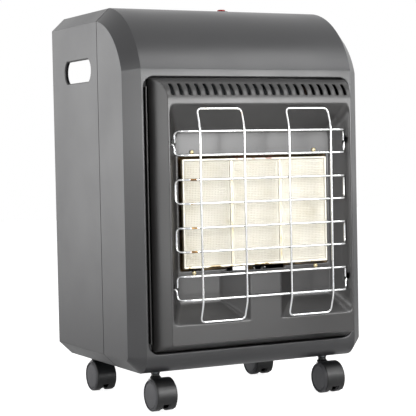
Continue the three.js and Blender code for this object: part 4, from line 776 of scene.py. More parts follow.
def panel_depth(x, z):
    """How far back the pressed panel's face lies at (x, z). It is the deepest of the front plane that
    rolls over into an elliptic arch, the flared sides, the sloping bottom, and a recess, which is the
    shallowest of four sloping walls, its back and the faces of the column in front of it."""
    x, z = np.abs(x), np.asarray(z, float)
    climb = np.clip((z - PANEL_FLAT_TOP) / (PANEL_TOP - PANEL_FLAT_TOP), 0, 1)
    front = PROUD + PANEL_ARCH_DEPTH * (1 - np.sqrt(1 - climb**2))
    side = PROUD - (x - PANEL_HALF) * PROUD / PANEL_FLARE
    bottom = PROUD - (PANEL_FLAT_BOTTOM - z) * PROUD / (PANEL_FLAT_BOTTOM - PANEL_BOTTOM)
    outside = smooth_max(front, smooth_max(side, bottom, FLARE_CORNER), FRONT_EDGE)
    depth = RECESS_BACK_Y - PROUD
    wall_side = PROUD + (RECESS_MOUTH[0] - x) * depth / (RECESS_MOUTH[0] - RECESS_BACK[0])
    wall_low = PROUD + (z - RECESS_MOUTH[1]) * depth / (RECESS_BACK[1] - RECESS_MOUTH[1])
    wall_high = PROUD + (RECESS_MOUTH[2] - z) * depth / (RECESS_MOUTH[2] - RECESS_BACK[2])
    walls = smooth_min(smooth_min(wall_side, wall_low, RECESS_CORNER), wall_high, RECESS_CORNER)
    recess = smooth_min(walls, RECESS_BACK_Y, RECESS_FOOT)
    flank = PROUD + (x - COLUMN_FRONT[0]) * depth / (COLUMN_BACK[0] - COLUMN_FRONT[0])
    top = PROUD + (z - COLUMN_FRONT[1]) * depth / (COLUMN_BACK[1] - COLUMN_FRONT[1])
    column = smooth_max(flank, top, COLUMN_EDGE)
    recess = smooth_min(recess, column, COLUMN_FOOT)
    return np.minimum(smooth_max(outside, recess, MOUTH_EDGE), PANEL_BACK)


def arch_climb(length):
    """Height reached after going some way up over the arch from the flat's top."""
    angle = np.linspace(0, math.pi / 2, 2000)
    y = -PANEL_ARCH_DEPTH * np.cos(angle)
    z = (PANEL_TOP - PANEL_FLAT_TOP) * np.sin(angle)
    run = np.concatenate([[0], np.cumsum(np.hypot(np.diff(y), np.diff(z)))])
    return PANEL_FLAT_TOP + np.interp(length, run, z), run[-1], np.interp(SLOT_ANGLES, angle, run)


def on_panel(x, z):
    """Points of the panel's face over places in (x, z)."""
    x, z = np.broadcast_arrays(x, z)
    return np.stack([x, panel_depth(x, z), z], -1)


def front_panel_sheet():
    """The front panel: rows and columns over (x, z) at the face's depth, crowded where it bends, a
    ring of its own round each outlet slot, holes where the burners, the pilot and the guard's hooks
    go through, and a flat flange behind the casing."""
    _, full_run, (slot_low, slot_high) = arch_climb(0.0)
    middle, straight = (slot_low + slot_high) / 2, (slot_high - slot_low) / 2 - SLOT_HALF
    cell_half, end_room = SLOT_PITCH / 2, SLOT_HALF + SLOT_END_ROOM
    corner = math.atan2(end_room, cell_half)
    turn = np.array([0.0, corner / 2, corner, 0.9, 1.15, math.pi / 2])
    arc = np.concatenate([turn, (math.pi - turn)[-2::-1]])
    right = np.linspace(-straight, straight, 6)[1:-1]
    ends = [(arc, straight), (arc + math.pi, -straight)]
    inner, outer = [], []
    for number, (angles, base) in enumerate(ends):
        way = np.stack([np.cos(angles), np.sin(angles)], -1)
        with np.errstate(divide="ignore"):
            reach = np.minimum(cell_half / np.abs(way[:, 0]), end_room / np.maximum(np.abs(way[:, 1]), 1e-9))
        inner.append(way * SLOT_HALF + [0, base])
        outer.append(way * reach[:, None] + [0, base])
        side = -1 if number == 0 else 1
        rows = right[::-1] if number == 0 else right
        inner.append(np.stack([np.full(len(rows), side * SLOT_HALF), rows], -1))
        outer.append(np.stack([np.full(len(rows), side * cell_half), rows], -1))
    inner, outer = np.concatenate(inner), np.concatenate(outer)
    patches = []
    for number in range(SLOT_COUNT):
        x = (number - (SLOT_COUNT - 1) / 2) * SLOT_PITCH
        rows = []
        for share in (0, 0.5, 1):
            loop = inner + (outer - inner) * share
            rows.append(on_panel(loop[:, 0] + x, arch_climb(loop[:, 1] + middle)[0]))
        patches.append(grid(closed_rows(rows)))
    top_edge = outer[np.abs(outer[:, 1] - straight - end_room) < 1e-6, 0]
    cells = (np.arange(SLOT_COUNT) - (SLOT_COUNT - 1) / 2) * SLOT_PITCH
    inside = np.unique(np.round(cells[:, None] + top_edge, 5))
    span = inside[-1]
    edge_x = PANEL_HALF + PANEL_FLARE * (PANEL_BACK - PROUD) / -PROUD
    sides = spaced(span, edge_x, 20, [(PANEL_HALF, 1.2, 9.0)])[1:]
    over = np.concatenate([-sides[::-1], inside, sides])
    bends = [(RECESS_MOUTH[0], 2.5, 3), (RECESS_BACK[0], 3.5, 1.5), (COLUMN_BACK[0], 4, 1.5)]
    bends += [(COLUMN_FRONT[0], 4, 1.5)]
    lines = [*HOOK_HOLE_X, WINDOW[0], NOTCH[0]]
    level = spaced(
        -span, span, len(inside),
        [(s * place, width, weight) for place, width, weight in bends for s in (-1, 1)],
        [s * line for line in lines for s in (-1, 1)],
    )
    under = np.concatenate([-sides[::-1], level, sides])
    low_end = arch_climb(middle - straight - end_room)[0]
    high_start = middle + straight + end_room
    bottom_z = PANEL_FLAT_BOTTOM - (PANEL_BACK - PROUD) * (PANEL_FLAT_BOTTOM - PANEL_BOTTOM) / -PROUD
    heights = spaced(
        bottom_z, PANEL_FLAT_TOP - 1, 190,
        [(PANEL_FLAT_BOTTOM, 1.5, 6), (RECESS_MOUTH[1], 2.5, 3), (RECESS_BACK[1], 3.5, 1.5),
         (COLUMN_TOP, 1.6, 12), (RECESS_BACK[2], 4, 1.5), (RECESS_MOUTH[2], 2.5, 3)],
        [*HOOK_HOLE_LOWS, *[low + HOOK_HOLE_HEIGHT for low in HOOK_HOLE_LOWS], NOTCH[1], *WINDOW[1:]],
    )
    heights = np.append(heights, [PANEL_FLAT_TOP, low_end])
    share = np.clip((heights - RECESS_MOUTH[2] - 1) / (PANEL_FLAT_TOP - RECESS_MOUTH[2] - 1), 0, 1)[:, None]
    columns = under + (over - under) * share
    points, faces = grid(on_panel(columns, heights[:, None]))
    centre = points[faces].mean(1)
    x, z = np.abs(centre[:, 0]), centre[:, 2]
    gone = (x < WINDOW[0]) & (z > WINDOW[1]) & (z < WINDOW[2])
    gone |= (x < NOTCH[0]) & (z > NOTCH[1]) & (z < WINDOW[1] + 1)
    for low in HOOK_HOLE_LOWS:
        gone |= (x > HOOK_HOLE_X[0]) & (x < HOOK_HOLE_X[1]) & (z > low) & (z < low + HOOK_HOLE_HEIGHT)
    patches.append((points, faces[~gone]))
    beside = np.unique(np.round(outer[np.abs(outer[:, 0] - cell_half) < 1e-6, 1], 6))
    band = arch_climb(beside + middle)[0][:, None]
    for side in (-1, 1):
        patches.append(grid(on_panel(side * np.concatenate([[span], sides]), band)))
    last = np.linspace(high_start, full_run, 12)
    upper = arch_climb(last)[0][:, None]
    patches.append(grid(on_panel(over, upper)))
    top_row = on_panel(over, upper[-1:])[0]
    behind = top_row.copy()
    behind[:, 1] = PANEL_BACK
    patches.append(grid(np.stack([top_row, behind])))
    left_edge = on_panel(-edge_x, np.concatenate([heights, band[1:-1, 0], upper[:, 0]]))
    right_edge = left_edge * [-1, 1, 1]
    bottom_edge = on_panel(under, heights[:1])
    border = np.concatenate([bottom_edge[:-1], right_edge[:-1], behind[::-1][:-1], left_edge[::-1][:-1]])
    border[:, 1] = PANEL_BACK
    flange = lifted(rounded(FLANGE[0], FLANGE[1], FLANGE[2], MOUTH_CORNER, 6), PANEL_BACK)
    patches.append(filled(flange, [border]))
    return piece(
        "front_panel_sheet", patches, panel_coat, "cabinet", ["front_panel"],
        outside=(0, -1, 0), wall=PANEL_SHEET, sharp=50,
    )


# ---------------------------------------------------------------- wires and tubes


def route(corners, radius, steps, closed=False):
    """A way through corner points, each corner rounded by a quadratic curve that starts and ends a
    radius away from it."""
    corners = np.asarray(corners, float)
    count = len(corners)
    way = []
    for i, corner in enumerate(corners):
        if not closed and i in (0, count - 1):
            way.append(corner[None])
            continue
        legs = [corners[i - 1] - corner, corners[(i + 1) % count] - corner]
        start, end = [corner + leg * min(radius / np.linalg.norm(leg), 0.45) for leg in legs]
        t = np.linspace(0, 1, steps + 1)[:, None]
        way.append((1 - t) ** 2 * start + 2 * t * (1 - t) * corner + t**2 * end)
    return np.concatenate(way)


def tube(way, radius, sides, closed=False, ends=3):
    """A round tube along a way: rings at right angles to the way's bisector at each point, turned as
    little as possible from one to the next, with domed ends where it is open."""
    way = np.asarray(way, float)
    ahead = np.roll(way, -1, 0) - way
    ahead /= np.linalg.norm(ahead, axis=1, keepdims=True)
    if not closed:
        ahead[-1] = ahead[-2]
    before = np.roll(ahead, 1, 0)
    if not closed:
        before[0] = ahead[0]
    tangent = ahead + before
    tangent /= np.linalg.norm(tangent, axis=1, keepdims=True)
    across = np.cross(tangent[0], [0, 0, 1.0])
    if np.linalg.norm(across) < 0.1:
        across = np.cross(tangent[0], [1.0, 0, 0])
    frames = []
    for direction in tangent:
        across = across - direction * across.dot(direction)
        across /= np.linalg.norm(across)
        frames.append(across)
    across = np.array(frames)
    up = np.cross(tangent, across)
    twist = 0.0
    if closed:
        final = across[-1] - tangent[0] * across[-1].dot(tangent[0])
        twist = math.atan2(final.dot(up[0]), final.dot(across[0]))
    share = np.linspace(0, 1, len(way), endpoint=not closed)[:, None]
    turn = np.linspace(0, 2 * math.pi, sides + 1)[None] - twist * share
    ring = across[:, None] * np.cos(turn)[..., None] + up[:, None] * np.sin(turn)[..., None]
    bisect = ahead - before
    size = np.linalg.norm(bisect, axis=1, keepdims=True)
    bisect = np.divide(bisect, size, out=np.zeros_like(bisect), where=size > 1e-9)
    stretch = 1 / np.clip(np.sum(tangent * ahead, 1), 0.5, 1) - 1
    ring = ring + bisect[:, None] * (np.sum(ring * bisect[:, None], -1) * stretch[:, None])[..., None]
    rows = way[:, None] + ring * radius
    if closed:
        rows = np.concatenate([rows, rows[:1]])
    else:
        caps = []
        for end, outward in ((0, -1), (-1, 1)):
            dome = [
                way[end] + ring[end] * radius * math.cos(a) + tangent[end] * outward * radius * math.sin(a)
                for a in np.linspace(0, math.pi / 2, ends + 1)[1:]
            ]
            caps.append(np.array(dome))
        rows = np.concatenate([caps[0][::-1], rows, caps[1]])
    return grid(rows)


WIRE = 1.7
WELD_SINK = 0.5
GUARD_FRONT = -49.59
CROSS_Y = GUARD_FRONT + 2 * WIRE - WELD_SINK
LOOP_Z = [130.2 + 71 * i for i in range(4)]
LOOP_RISE = 17.5
LOOP_BEND = 137.0
LOOP_END = (146.3, -32.0)
HOOK_ELBOW = 147.6
HOOK_TIP = (153.0, -28.0)
UPRIGHTS = (38.7, 112.8)
KNEES = (107.0, 366.0)
UPRIGHT_TIPS = (78.5, 394.0, -40.0)
WIRE_BEND = 8.0
CUT_HALF = 1.8  # half the gap between a cut loop's two ends


def guard_wires():
    """The wire guard: four flat loops across the recess, the outer two cut at their middles with
    hooks on their lower wires, and two upright loops welded in front of them."""
    patches = []

    def cross(z):
        """The corners of a cross wire, bent back at its ends."""
        half = [(LOOP_BEND, CROSS_Y, z), (LOOP_END[0], LOOP_END[1], z)]
        return [(-x, y, h) for x, y, h in half[::-1]] + half

    def lay(corners, closed):
        """Adds a wire along its corners."""
        patches.append(tube(route(corners, WIRE_BEND, 7, closed), WIRE, 14, closed))

    for number, middle in enumerate(LOOP_Z):
        high, low = cross(middle + LOOP_RISE), cross(middle - LOOP_RISE)
        if number in (1, 2):
            lay(high + low[::-1], True)
            continue
        cut, hook = middle + CUT_HALF, middle - CUT_HALF
        lay([(-LOOP_END[0], LOOP_END[1], cut), *high, (*LOOP_END, cut)], False)
        ends = [(HOOK_TIP[0], HOOK_TIP[1], hook), (HOOK_ELBOW, LOOP_END[1], hook)]
        lay([(-x, y, z) for x, y, z in ends] + low + ends[::-1], False)
    x0, x1 = UPRIGHTS
    low, high, tip = UPRIGHT_TIPS
    for side in (-1, 1):
        corners = [
            (x0, GUARD_FRONT, KNEES[1]), (x0, tip, high), (x1, tip, high), (x1, GUARD_FRONT, KNEES[1]),
            (x1, GUARD_FRONT, KNEES[0]), (x1, tip, low), (x0, tip, low), (x0, GUARD_FRONT, KNEES[0]),
        ]
        lay([(side * x, y, z) for x, y, z in corners], True)
    return piece("guard_wires", patches, wire, "cabinet", ["wire_guard"], sharp=60)


# ---------------------------------------------------------------- turned pieces and blocks

FIT = 0.3  # clearance between pieces that touch


def turned(profile, centre=(0, 0, 0), axis=2, steps=48):
    """A profile of (radius, place along the axis) turned about an axis through a centre."""
    profile = np.asarray(profile, float)
    angle = np.linspace(0, 2 * math.pi, steps + 1)
    angle[-1] = 0
    rows = np.zeros((len(profile), steps + 1, 3))
    rows[..., axis] = profile[:, 1:]
    rows[..., (axis + 1) % 3] = profile[:, :1] * np.cos(angle)
    rows[..., (axis + 2) % 3] = profile[:, :1] * np.sin(angle)
    return grid(rows + np.asarray(centre, float))


def drawn(section, start, end, axis=2):
    """A closed outline in the two other directions carried along an axis, with its ends closed."""
    section = np.asarray(section, float)
    loops = []
    for place in (start, end):
        loop = np.zeros((len(section), 3))
        loop[:, axis] = place
        loop[:, (axis + 1) % 3], loop[:, (axis + 2) % 3] = section[:, 0], section[:, 1]
        loops.append(loop)
    return [grid(closed_rows(loops)), filled(loops[0]), filled(loops[1])]


def block(low, high):
    """A plain block between two corners."""
    (x0, y0, z0), (x1, y1, z1) = low, high
    return drawn([(x0, y0), (x1, y0), (x1, y1), (x0, y1)], z0, z1)


STRIP_X = (173.8, 175.5)
STRIP_Z = (46.0, 428.0)
STRIP_FRONT = 0.6
STRIP_EDGE = 0.3


def panel_edge_strips():
    """The narrow lips that show in the gap at each side of the front panel."""
    patches = []
    near, far = STRIP_X
    edge = STRIP_FRONT + STRIP_EDGE
    half = [(near, PANEL_BACK), (near, edge), (near + STRIP_EDGE, STRIP_FRONT),
            (far - STRIP_EDGE, STRIP_FRONT), (far, edge), (far, PANEL_BACK)]
    for side in (-1, 1):
        patches += drawn([(side * x, y) for x, y in half], *STRIP_Z)
    return piece("panel_edge_strips", patches, panel_coat, "cabinet")


# ---------------------------------------------------------------- burners

PLAQUE_WIDE, PLAQUE_TALL, PLAQUE_THICK = 80.0, 158.0, 13.0
PLAQUE_PITCH = 84.65
PLAQUE_LOW = 159.0
PLAQUE_FRONT = -13.2
PLAQUE_EDGE = 0.6  # width and depth of the worn edge
HOLE_PITCH = 2.6  # twice the real pitch, so that each hole keeps a few faces
HOLE_RADIUS = 0.85
HOLE_SLOPE = 0.45  # width of each hole's slanting wall
HOLE_DEPTH = 1.0
HOLE_BORDER = 2.5
PLACES_PER_HOLE = 5


def plaque_places(length):
    """Places across a plaque and each one's distance from the middle of its row of holes. The plain
    border is at least HOLE_BORDER wide."""
    count = int((length - 2 * HOLE_BORDER) // HOLE_PITCH)
    start = (length - count * HOLE_PITCH) / 2
    step = np.arange(count * PLACES_PER_HOLE + 1) / PLACES_PER_HOLE
    places = np.concatenate([[0, PLAQUE_EDGE], start + HOLE_PITCH * step, [length - PLAQUE_EDGE, length]])
    away = np.concatenate([[1, 1], np.abs(step % 1 - 0.5), [1, 1]]) * HOLE_PITCH
    return places, away


def plaque(side, middle):
    """A plaque with rows of round flame holes: a hole's depth falls off linearly over its wall, and
    the edge is set back a little."""
    across, away_x = plaque_places(PLAQUE_WIDE)
    up, away_z = plaque_places(PLAQUE_TALL)
    reach = np.hypot(away_x, away_z[:, None])
    depth = HOLE_DEPTH * np.clip((HOLE_RADIUS - reach) / HOLE_SLOPE, 0, 1)
    depth[[0, -1]] = PLAQUE_EDGE
    depth[:, [0, -1]] = PLAQUE_EDGE
    x = np.broadcast_to(across + middle - PLAQUE_WIDE / 2, depth.shape)
    z = np.broadcast_to(up[:, None] + PLAQUE_LOW, depth.shape)
    face = np.stack([x, PLAQUE_FRONT + depth, z], -1)
    border = np.concatenate([face[0, :-1], face[:-1, -1], face[-1, :0:-1], face[:0:-1, 0]])
    behind = border.copy()
    behind[:, 1] = PLAQUE_FRONT + PLAQUE_THICK
    patches = [grid(face), grid(closed_rows([border, behind])), filled(behind)]
    return piece(
        f"plaque_{side}_ceramic", patches, ceramic, "cabinet", [f"plaque_{side}"], sharp=50
    )


FRAME_HALF = 125.85
FRAME_LOW, FRAME_HIGH = 155.9, 320.1
FRAME_SHEET = 0.9
FRAME_FRONT = -14.4
FRAME_BACK = 5.6
FRAME_LIP = 3.9
FRAME_ROLL = 1.5
FRAME_CORNER = 2.2
FRAME_FLANGE_Y = -6.2
FRAME_FLANGE = (10.0, 17.0)
PILOT_NOTCH_HALF = 50.0
BAR_HALF = 2.6
BAR_GROOVE = (1.6, 1.25)  # half widths of the groove, at its mouth and at its floor
BAR_GROOVE_DEPTH = 0.65


def burner_frame_steel():
    """The frame round the plaques: a wall that rolls over, as a quarter circle, into a flat lip, and
    a flange behind the panel that is notched for the pilot."""

    def ring(inset, y):
        """The frame's rounded rectangle, set in, at a depth."""
        corner = max(FRAME_CORNER - inset, 0.5)
        loop = rounded(FRAME_HALF - inset, FRAME_LOW + inset, FRAME_HIGH - inset, corner, 4)
        return lifted(loop, y)

    rolled = [ring(inset, FRAME_FRONT + back) for back, inset in quarter(FRAME_ROLL, 5)]
    rows = [ring(0, FRAME_BACK), *rolled, ring(FRAME_LIP, FRAME_FRONT)]
    piece("burner_frame_wall", [grid(closed_rows(rows))], burner_steel, "cabinet", ["burner_frame"],
          outside=(0, -1, 0), wall=FRAME_SHEET)
    half, tall = FRAME_HALF + FRAME_FLANGE[0], FRAME_FLANGE[1]
    low, high = FRAME_LOW - tall, FRAME_HIGH + tall
    near, notch = 0.1, PILOT_NOTCH_HALF
    notch_top = FRAME_LOW - near - 1
    outer = [(half, low), (half, high), (-half, high), (-half, low),
             (-notch, low), (-notch, notch_top), (notch, notch_top), (notch, low)]
    hole = rounded(FRAME_HALF + near, FRAME_LOW - near, FRAME_HIGH + near, FRAME_CORNER, 4)
    flange = filled(lifted(np.array(outer), FRAME_FLANGE_Y), [lifted(hole, FRAME_FLANGE_Y)])
    piece("burner_frame_flange", [flange], burner_steel, "cabinet", outside=(0, -1, 0),
          wall=FRAME_SHEET)
    patches = []
    front, floor = FRAME_FRONT, FRAME_FRONT + BAR_GROOVE_DEPTH
    back = FRAME_FRONT + FRAME_SHEET
    for middle in (-PLAQUE_PITCH / 2, PLAQUE_PITCH / 2):
        half_section = [(BAR_HALF, back), (BAR_HALF, front), (BAR_GROOVE[0], front), (BAR_GROOVE[1], floor)]
        section = half_section + [(-x, y) for x, y in half_section[::-1]]
        smooth = route([(x + middle, y) for x, y in section], 0.3, 3, closed=True)
        patches += drawn(smooth, FRAME_LOW + 1, FRAME_HIGH - 1)
    piece("burner_frame_bars", patches, burner_steel, "cabinet")


SCREW_AT = ((106.5, 149.2), (106.5, 330.0))
SCREW_HEAD = 3.6
SCREW_CROWN = 2.4
SCREW_SHANK = 1.7
SCREW_LENGTH = 9.0
SCREW_SLOT = (0.55, 2.3)  # half width and half length of each arm of the cross
SCREW_SLOT_DEPTH = 1.1
SLOT_WALL = 0.35
SCREW_FACE = RECESS_BACK_Y - FIT


def frame_screw(name, x, z):
    """A domed screw with a cross slot. The dome's height is an ellipse over the radius, and the slot
    is the deeper of its two arms."""
    turn = np.linspace(0, 2 * math.pi, 65)
    turn[-1] = 0
    radius, angle = np.meshgrid(np.linspace(0, SCREW_HEAD, 19), turn, indexing="ij")
    along, aside = radius * np.cos(angle), radius * np.sin(angle)
    dome = SCREW_CROWN * np.sqrt(1 - (radius / SCREW_HEAD) ** 2)

    def arm(u, v):
        """1 inside an arm of the slot, falling to 0 over its wall."""
        share = np.clip((SCREW_SLOT[0] + SLOT_WALL - np.abs(u)) / SLOT_WALL, 0, 1)
        return share * np.clip((SCREW_SLOT[1] + SLOT_WALL - np.abs(v)) / SLOT_WALL, 0, 1)

    slot = SCREW_SLOT_DEPTH * np.maximum(arm(along, aside), arm(aside, along))
    head = np.stack([x + along, SCREW_FACE - np.maximum(dome - slot, 0), z + aside], -1)
    shank = [(SCREW_HEAD, SCREW_FACE), (SCREW_SHANK, SCREW_FACE), (SCREW_SHANK, SCREW_FACE + SCREW_LENGTH),
             (0, SCREW_FACE + SCREW_LENGTH)]
    rim = np.stack([np.cos(turn), np.sin(turn)], -1)
    patches = [grid(head), grid(np.array([lifted(rim * r + (x, z), y) for r, y in shank]))]
    return piece(f"{name}_brass", patches, brass, "cabinet", [name], sharp=40)


PILOT_Y = 4.0
PILOT_TAIL = 132.8
SLEEVE_HIGH = 147.0
SLEEVE_NECK = 149.0
NEEDLE_BEND = 151.0
NEEDLE_TIP_Z = 152.0
NEEDLE_REACH = 14.5
PROBES = (
    ("spark_electrode", 4.0, 2.6, 1.0, 9.0, glazed, "white_ceramic"),
    ("thermocouple", 17.0, 2.4, 1.6, 3.0, pilot_steel, "copper"),
)


def pilot_probe(name, x, sleeve, needle, aside, material, slot):
    """A probe of the pilot: a turned sleeve, necked at its top, and a round needle that bends over
    towards the flame."""
    corners = [(0, PILOT_TAIL), (sleeve, PILOT_TAIL), (sleeve, SLEEVE_HIGH), (needle, SLEEVE_NECK)]
    profile = route([*corners, (0, SLEEVE_NECK)], 0.6, 3)
    way = route([(x, PILOT_Y, SLEEVE_HIGH), (x, PILOT_Y, NEEDLE_BEND),
                 (x - aside, PILOT_Y - NEEDLE_REACH, NEEDLE_TIP_Z)], 3, 6)
    patches = [turned(profile, (x, PILOT_Y, 0), steps=24), tube(way, needle - 0.2, 14)]
    return piece(f"{name}_turned", patches, material, "cabinet", [name])


PILOT_X = -32.0
PILOT_STEM = (4.0, 150.0)  # radius and top
# the head's solid end, its two cheeks and the floor between them, as (x, y, z) corners
PILOT_BLOCKS = (
    ((-42, -11, 149.3), (-29, 8, 155.3)),
    ((-29.5, -11, 149.3), (-20, -9.5, 155.3)),
    ((-29.5, -5, 149.3), (-20, 8, 155.3)),
    ((-29.5, -10, 149.3), (-20, -4.5, 150.8)),
)


def pilot_head():
    """The pilot burner: a round stem under a pressed head that opens towards the electrode."""
    radius, top = PILOT_STEM
    stem = [(0, PILOT_TAIL), (radius, PILOT_TAIL), (radius, top), (0, top)]
    patches = [turned(stem, (PILOT_X, PILOT_Y, 0), steps=24)]
    for corners in PILOT_BLOCKS:
        patches += block(*corners)
    return piece("pilot_burner_head", patches, pilot_steel, "cabinet", ["pilot_burner"],
                 bevels=((0.5, 2),))


# ---------------------------------------------------------------- castors

CASTOR_X = 149.0
CASTOR_Y = (45.0, 273.0)
CASTOR_TRAIL = 17.0
WHEEL_RADIUS = 24.0
WHEEL_OUT = 18.0
WHEEL_IN = 6.0
WHEEL_FACE = 15.5
AXLE_BORE = 3.3
HOOD_RADIUS = 26.0
HOOD_WALL = 1.3
HOOD_HALF = 16.3
HOOD_EDGE = (2.2, 1.0)  # reach and drop of the band's rounded edge
HOOD_SWING = (math.radians(-48), math.radians(112))
HOOD_NOTCH_HALF = 5.9
HOOD_NOTCH_TOP = 12.0  # above the floor
HOOD_STEPS = 60
WEB_HALF = 5.6
NECK_RADIUS = 6.3
NECK_TOP = -4.5
STEM = 4.0
EAR_HALF = 2.2
EAR_SINK = 0.9
EAR_ROWS = ((0, 0.6, 0), (0.9, 0.5, 2.2), (2.2, 0.35, 4.3))  # outward lean, half thickness and rise
CORNERS = ((-1, 1), (-1, -1), (1, -1), (1, 1))


def castor_wheel(place, x, y, outwards):
    """A wheel: its face has a raised rim with a groove inside it, and its back is hollow round a hub."""
    face = WHEEL_OUT - 0.7
    profile = route(
        [(0, face + 0.25), (6, face), (19.4, face), (19.6, face - 1.6), (20.9, face - 1.6), (21.2, WHEEL_OUT),
         (22.4, WHEEL_OUT), (WHEEL_RADIUS, WHEEL_OUT - 1.8), (WHEEL_RADIUS, WHEEL_IN), (21, WHEEL_IN),
         (21, WHEEL_FACE), (7, WHEEL_FACE), (7, WHEEL_IN), (AXLE_BORE, WHEEL_IN), (AXLE_BORE, WHEEL_OUT - 3),
         (0, WHEEL_OUT - 3)],
        0.5, 3,
    )
    profile[:, 1] *= outwards
    wheel = turned(profile, (x, y - CASTOR_TRAIL, WHEEL_RADIUS - FLOOR_GAP), 0, 72)
    name = f"castor_wheel_{place}"
    return piece(f"{name}_moulded", [wheel], grey_plastic, f"wheel_{place}", [name])


def hood_band(x, y, swing, inner, outer):
    """Part of the hood's curved band: a cross-section over (inner, outer) in x, carried round the
    axle over a swing of angles from the front, with half-round ends."""
    reach, drop = HOOD_EDGE
    across = np.concatenate([
        np.linspace(inner, inner + reach, 7)[:-1],
        np.linspace(inner + reach, outer - reach, 10),
        np.linspace(outer - reach, outer, 7)[1:],
    ])
    fall = np.clip((np.abs(across) - (HOOD_HALF - reach)) / reach, 0, 1)
    crown = HOOD_RADIUS - drop * (1 - np.sqrt(1 - fall**2))
    middle = HOOD_RADIUS - HOOD_WALL + (HOOD_WALL - drop) / 2
    section = np.concatenate([
        np.stack([across, crown], -1),
        np.stack([across[::-1], np.full(len(across), HOOD_RADIUS - HOOD_WALL)], -1),
    ])
    quarter_turn = np.linspace(0, math.pi / 2, 5)
    lead, fade = 1 - np.sin(quarter_turn), np.cos(quarter_turn)
    lip = HOOD_WALL / 2 / HOOD_RADIUS
    low, high = swing
    between = np.linspace(low + lip, high - lip, HOOD_STEPS)[1:-1]
    angles = np.concatenate([low + lip * lead[::-1], between, high - lip * lead])
    thin = np.concatenate([fade[::-1], np.ones(len(between)), fade])
    radius = middle + (section[:, 1] - middle) * thin[:, None]
    wide = np.broadcast_to(section[:, 0], radius.shape)
    turn = angles[:, None]
    rows = np.stack([
        x + wide,
        y - CASTOR_TRAIL - radius * np.cos(turn),
        WHEEL_RADIUS - FLOOR_GAP + radius * np.sin(turn),
    ], -1)
    return grid(closed_rows(rows))


def castor_hood(place, x, y):
    """A castor's hood: the band with its notch, the web between the wheels, the neck that flares
    into the band, and two small sprung ears at its top."""
    low, high = HOOD_SWING
    split = math.asin((HOOD_NOTCH_TOP - WHEEL_RADIUS) / HOOD_RADIUS)
    patches = [hood_band(x, y, (split, high), -HOOD_HALF, HOOD_HALF)]
    for inner, outer in ((-HOOD_HALF, -HOOD_NOTCH_HALF), (HOOD_NOTCH_HALF, HOOD_HALF)):
        patches.append(hood_band(x, y, (low, split + 0.06), inner, outer))
    radius = HOOD_RADIUS - HOOD_WALL / 2
    axle_y, axle_z = y - CASTOR_TRAIL, WHEEL_RADIUS - FLOOR_GAP
    cut_z = HOOD_NOTCH_TOP - FLOOR_GAP
    back = NECK_RADIUS + CASTOR_TRAIL
    start = math.asin((cut_z - axle_z) / radius)
    over = np.linspace(start, math.pi - math.acos(back / radius), 48)
    under = np.linspace(-math.acos(back / radius), -math.acos(CASTOR_TRAIL / radius), 5)
    arc = np.stack([axle_y - radius * np.cos(over), axle_z + radius * np.sin(over)], -1)
    foot = np.stack([axle_y + radius * np.cos(under), axle_z + radius * np.sin(under)], -1)
    web = np.concatenate([arc, foot, [(y, cut_z)]])
    patches += drawn(web, x - WEB_HALF, x + WEB_HALF, axis=0)
    crown = axle_z + HOOD_RADIUS
    neck = route(
        [(0, crown - 6), (NECK_RADIUS, crown - 6), (NECK_RADIUS + 2.5, crown - 1.5),
         (NECK_RADIUS, crown + 1.2), (NECK_RADIUS, NECK_TOP), (STEM + FIT, NECK_TOP),
         (STEM + FIT, crown - 2), (0, crown - 2)],
        0.8, 4,
    )
    patches.append(turned(neck, (x, y, 0), steps=40))
    for side in (-1, 1):
        loops = []
        for lean, thick, rise in EAR_ROWS:
            middle, z = x + side * (NECK_RADIUS - EAR_SINK + lean), NECK_TOP - 0.8 + rise
            loops.append([(middle + a * thick, y + b * EAR_HALF, z) for a, b in CORNERS])
        patches += [grid(closed_rows(loops)), filled(loops[0]), filled(loops[-1])]
    name = f"castor_hood_{place}"
    return piece(f"{name}_moulded", patches, black_plastic, f"castor_{place}", [name])


COLLAR = 9.0
STEM_PROFILE = ((0, -36), (STEM, -36), (STEM, -0.5), (COLLAR, -0.5), (COLLAR, 1.5), (STEM, 1.5),
                (STEM, 12.3), (0, 12.3))


def castor_stem(place, x, y):
    """The stem, turned with a collar that bears on the cabinet's tray."""
    stem, name = turned(route(STEM_PROFILE, 0.5, 3), (x, y, 0)), f"castor_stem_{place}"
    return piece(f"{name}_turned", [stem], zinc, f"castor_{place}", [name])


def castors():
    """The four castors, each a hood on a stem with two wheels."""
    for ahead, y in zip(("front", "rear"), CASTOR_Y):
        for hand, side in (("left", -1), ("right", 1)):
            place, x = f"{ahead}_{hand}", side * CASTOR_X
            castor_hood(place, x, y)
            castor_stem(place, x, y)
            castor_wheel(f"{place}_outer", x, y, side)
            castor_wheel(f"{place}_inner", x, y, -side)


# ---------------------------------------------------------------- controls on the top

RIM_TOP = BODY_HEIGHT + FIT + 1.0
RIM_LAP = 5.0
RIM_EDGE = 0.9
KNOB_AT = (95.0, 166.0)
WELL_RADIUS = 33.0
WELL_DEPTH = 22.0
WELL_LIP, WELL_FILLET = 1.6, 3.0
SPINDLE_BORE = 4.6
KNOB_RADIUS = 21.0
KNOB_LOW = RIM_TOP - WELL_DEPTH + 4.0
KNOB_SKIRT = 6.8
KNOB_HEIGHT = 17.0
KNOB_RIBS = 40
RIB_DEPTH, RIB_FADE = 0.35, 1.2
GRIP_CROWN, GRIP_CORNER = 2.4, 3.4
GRIP_HALF = 4.0
GRIP_REACH = 19.0
IGNITER_AT = (28.0, 141.0)
IGNITER_RADIUS = 9.0
IGNITER_COLLAR = 3.0
IGNITER_LENGTH = 52.0
THREADS, THREAD_DEPTH = 30, 0.35
BORE_DEPTH = 15.8
BEZEL_RADIUS = 12.0
BEZEL_HEIGHT = 1.2
BUTTON_RADIUS = 6.5
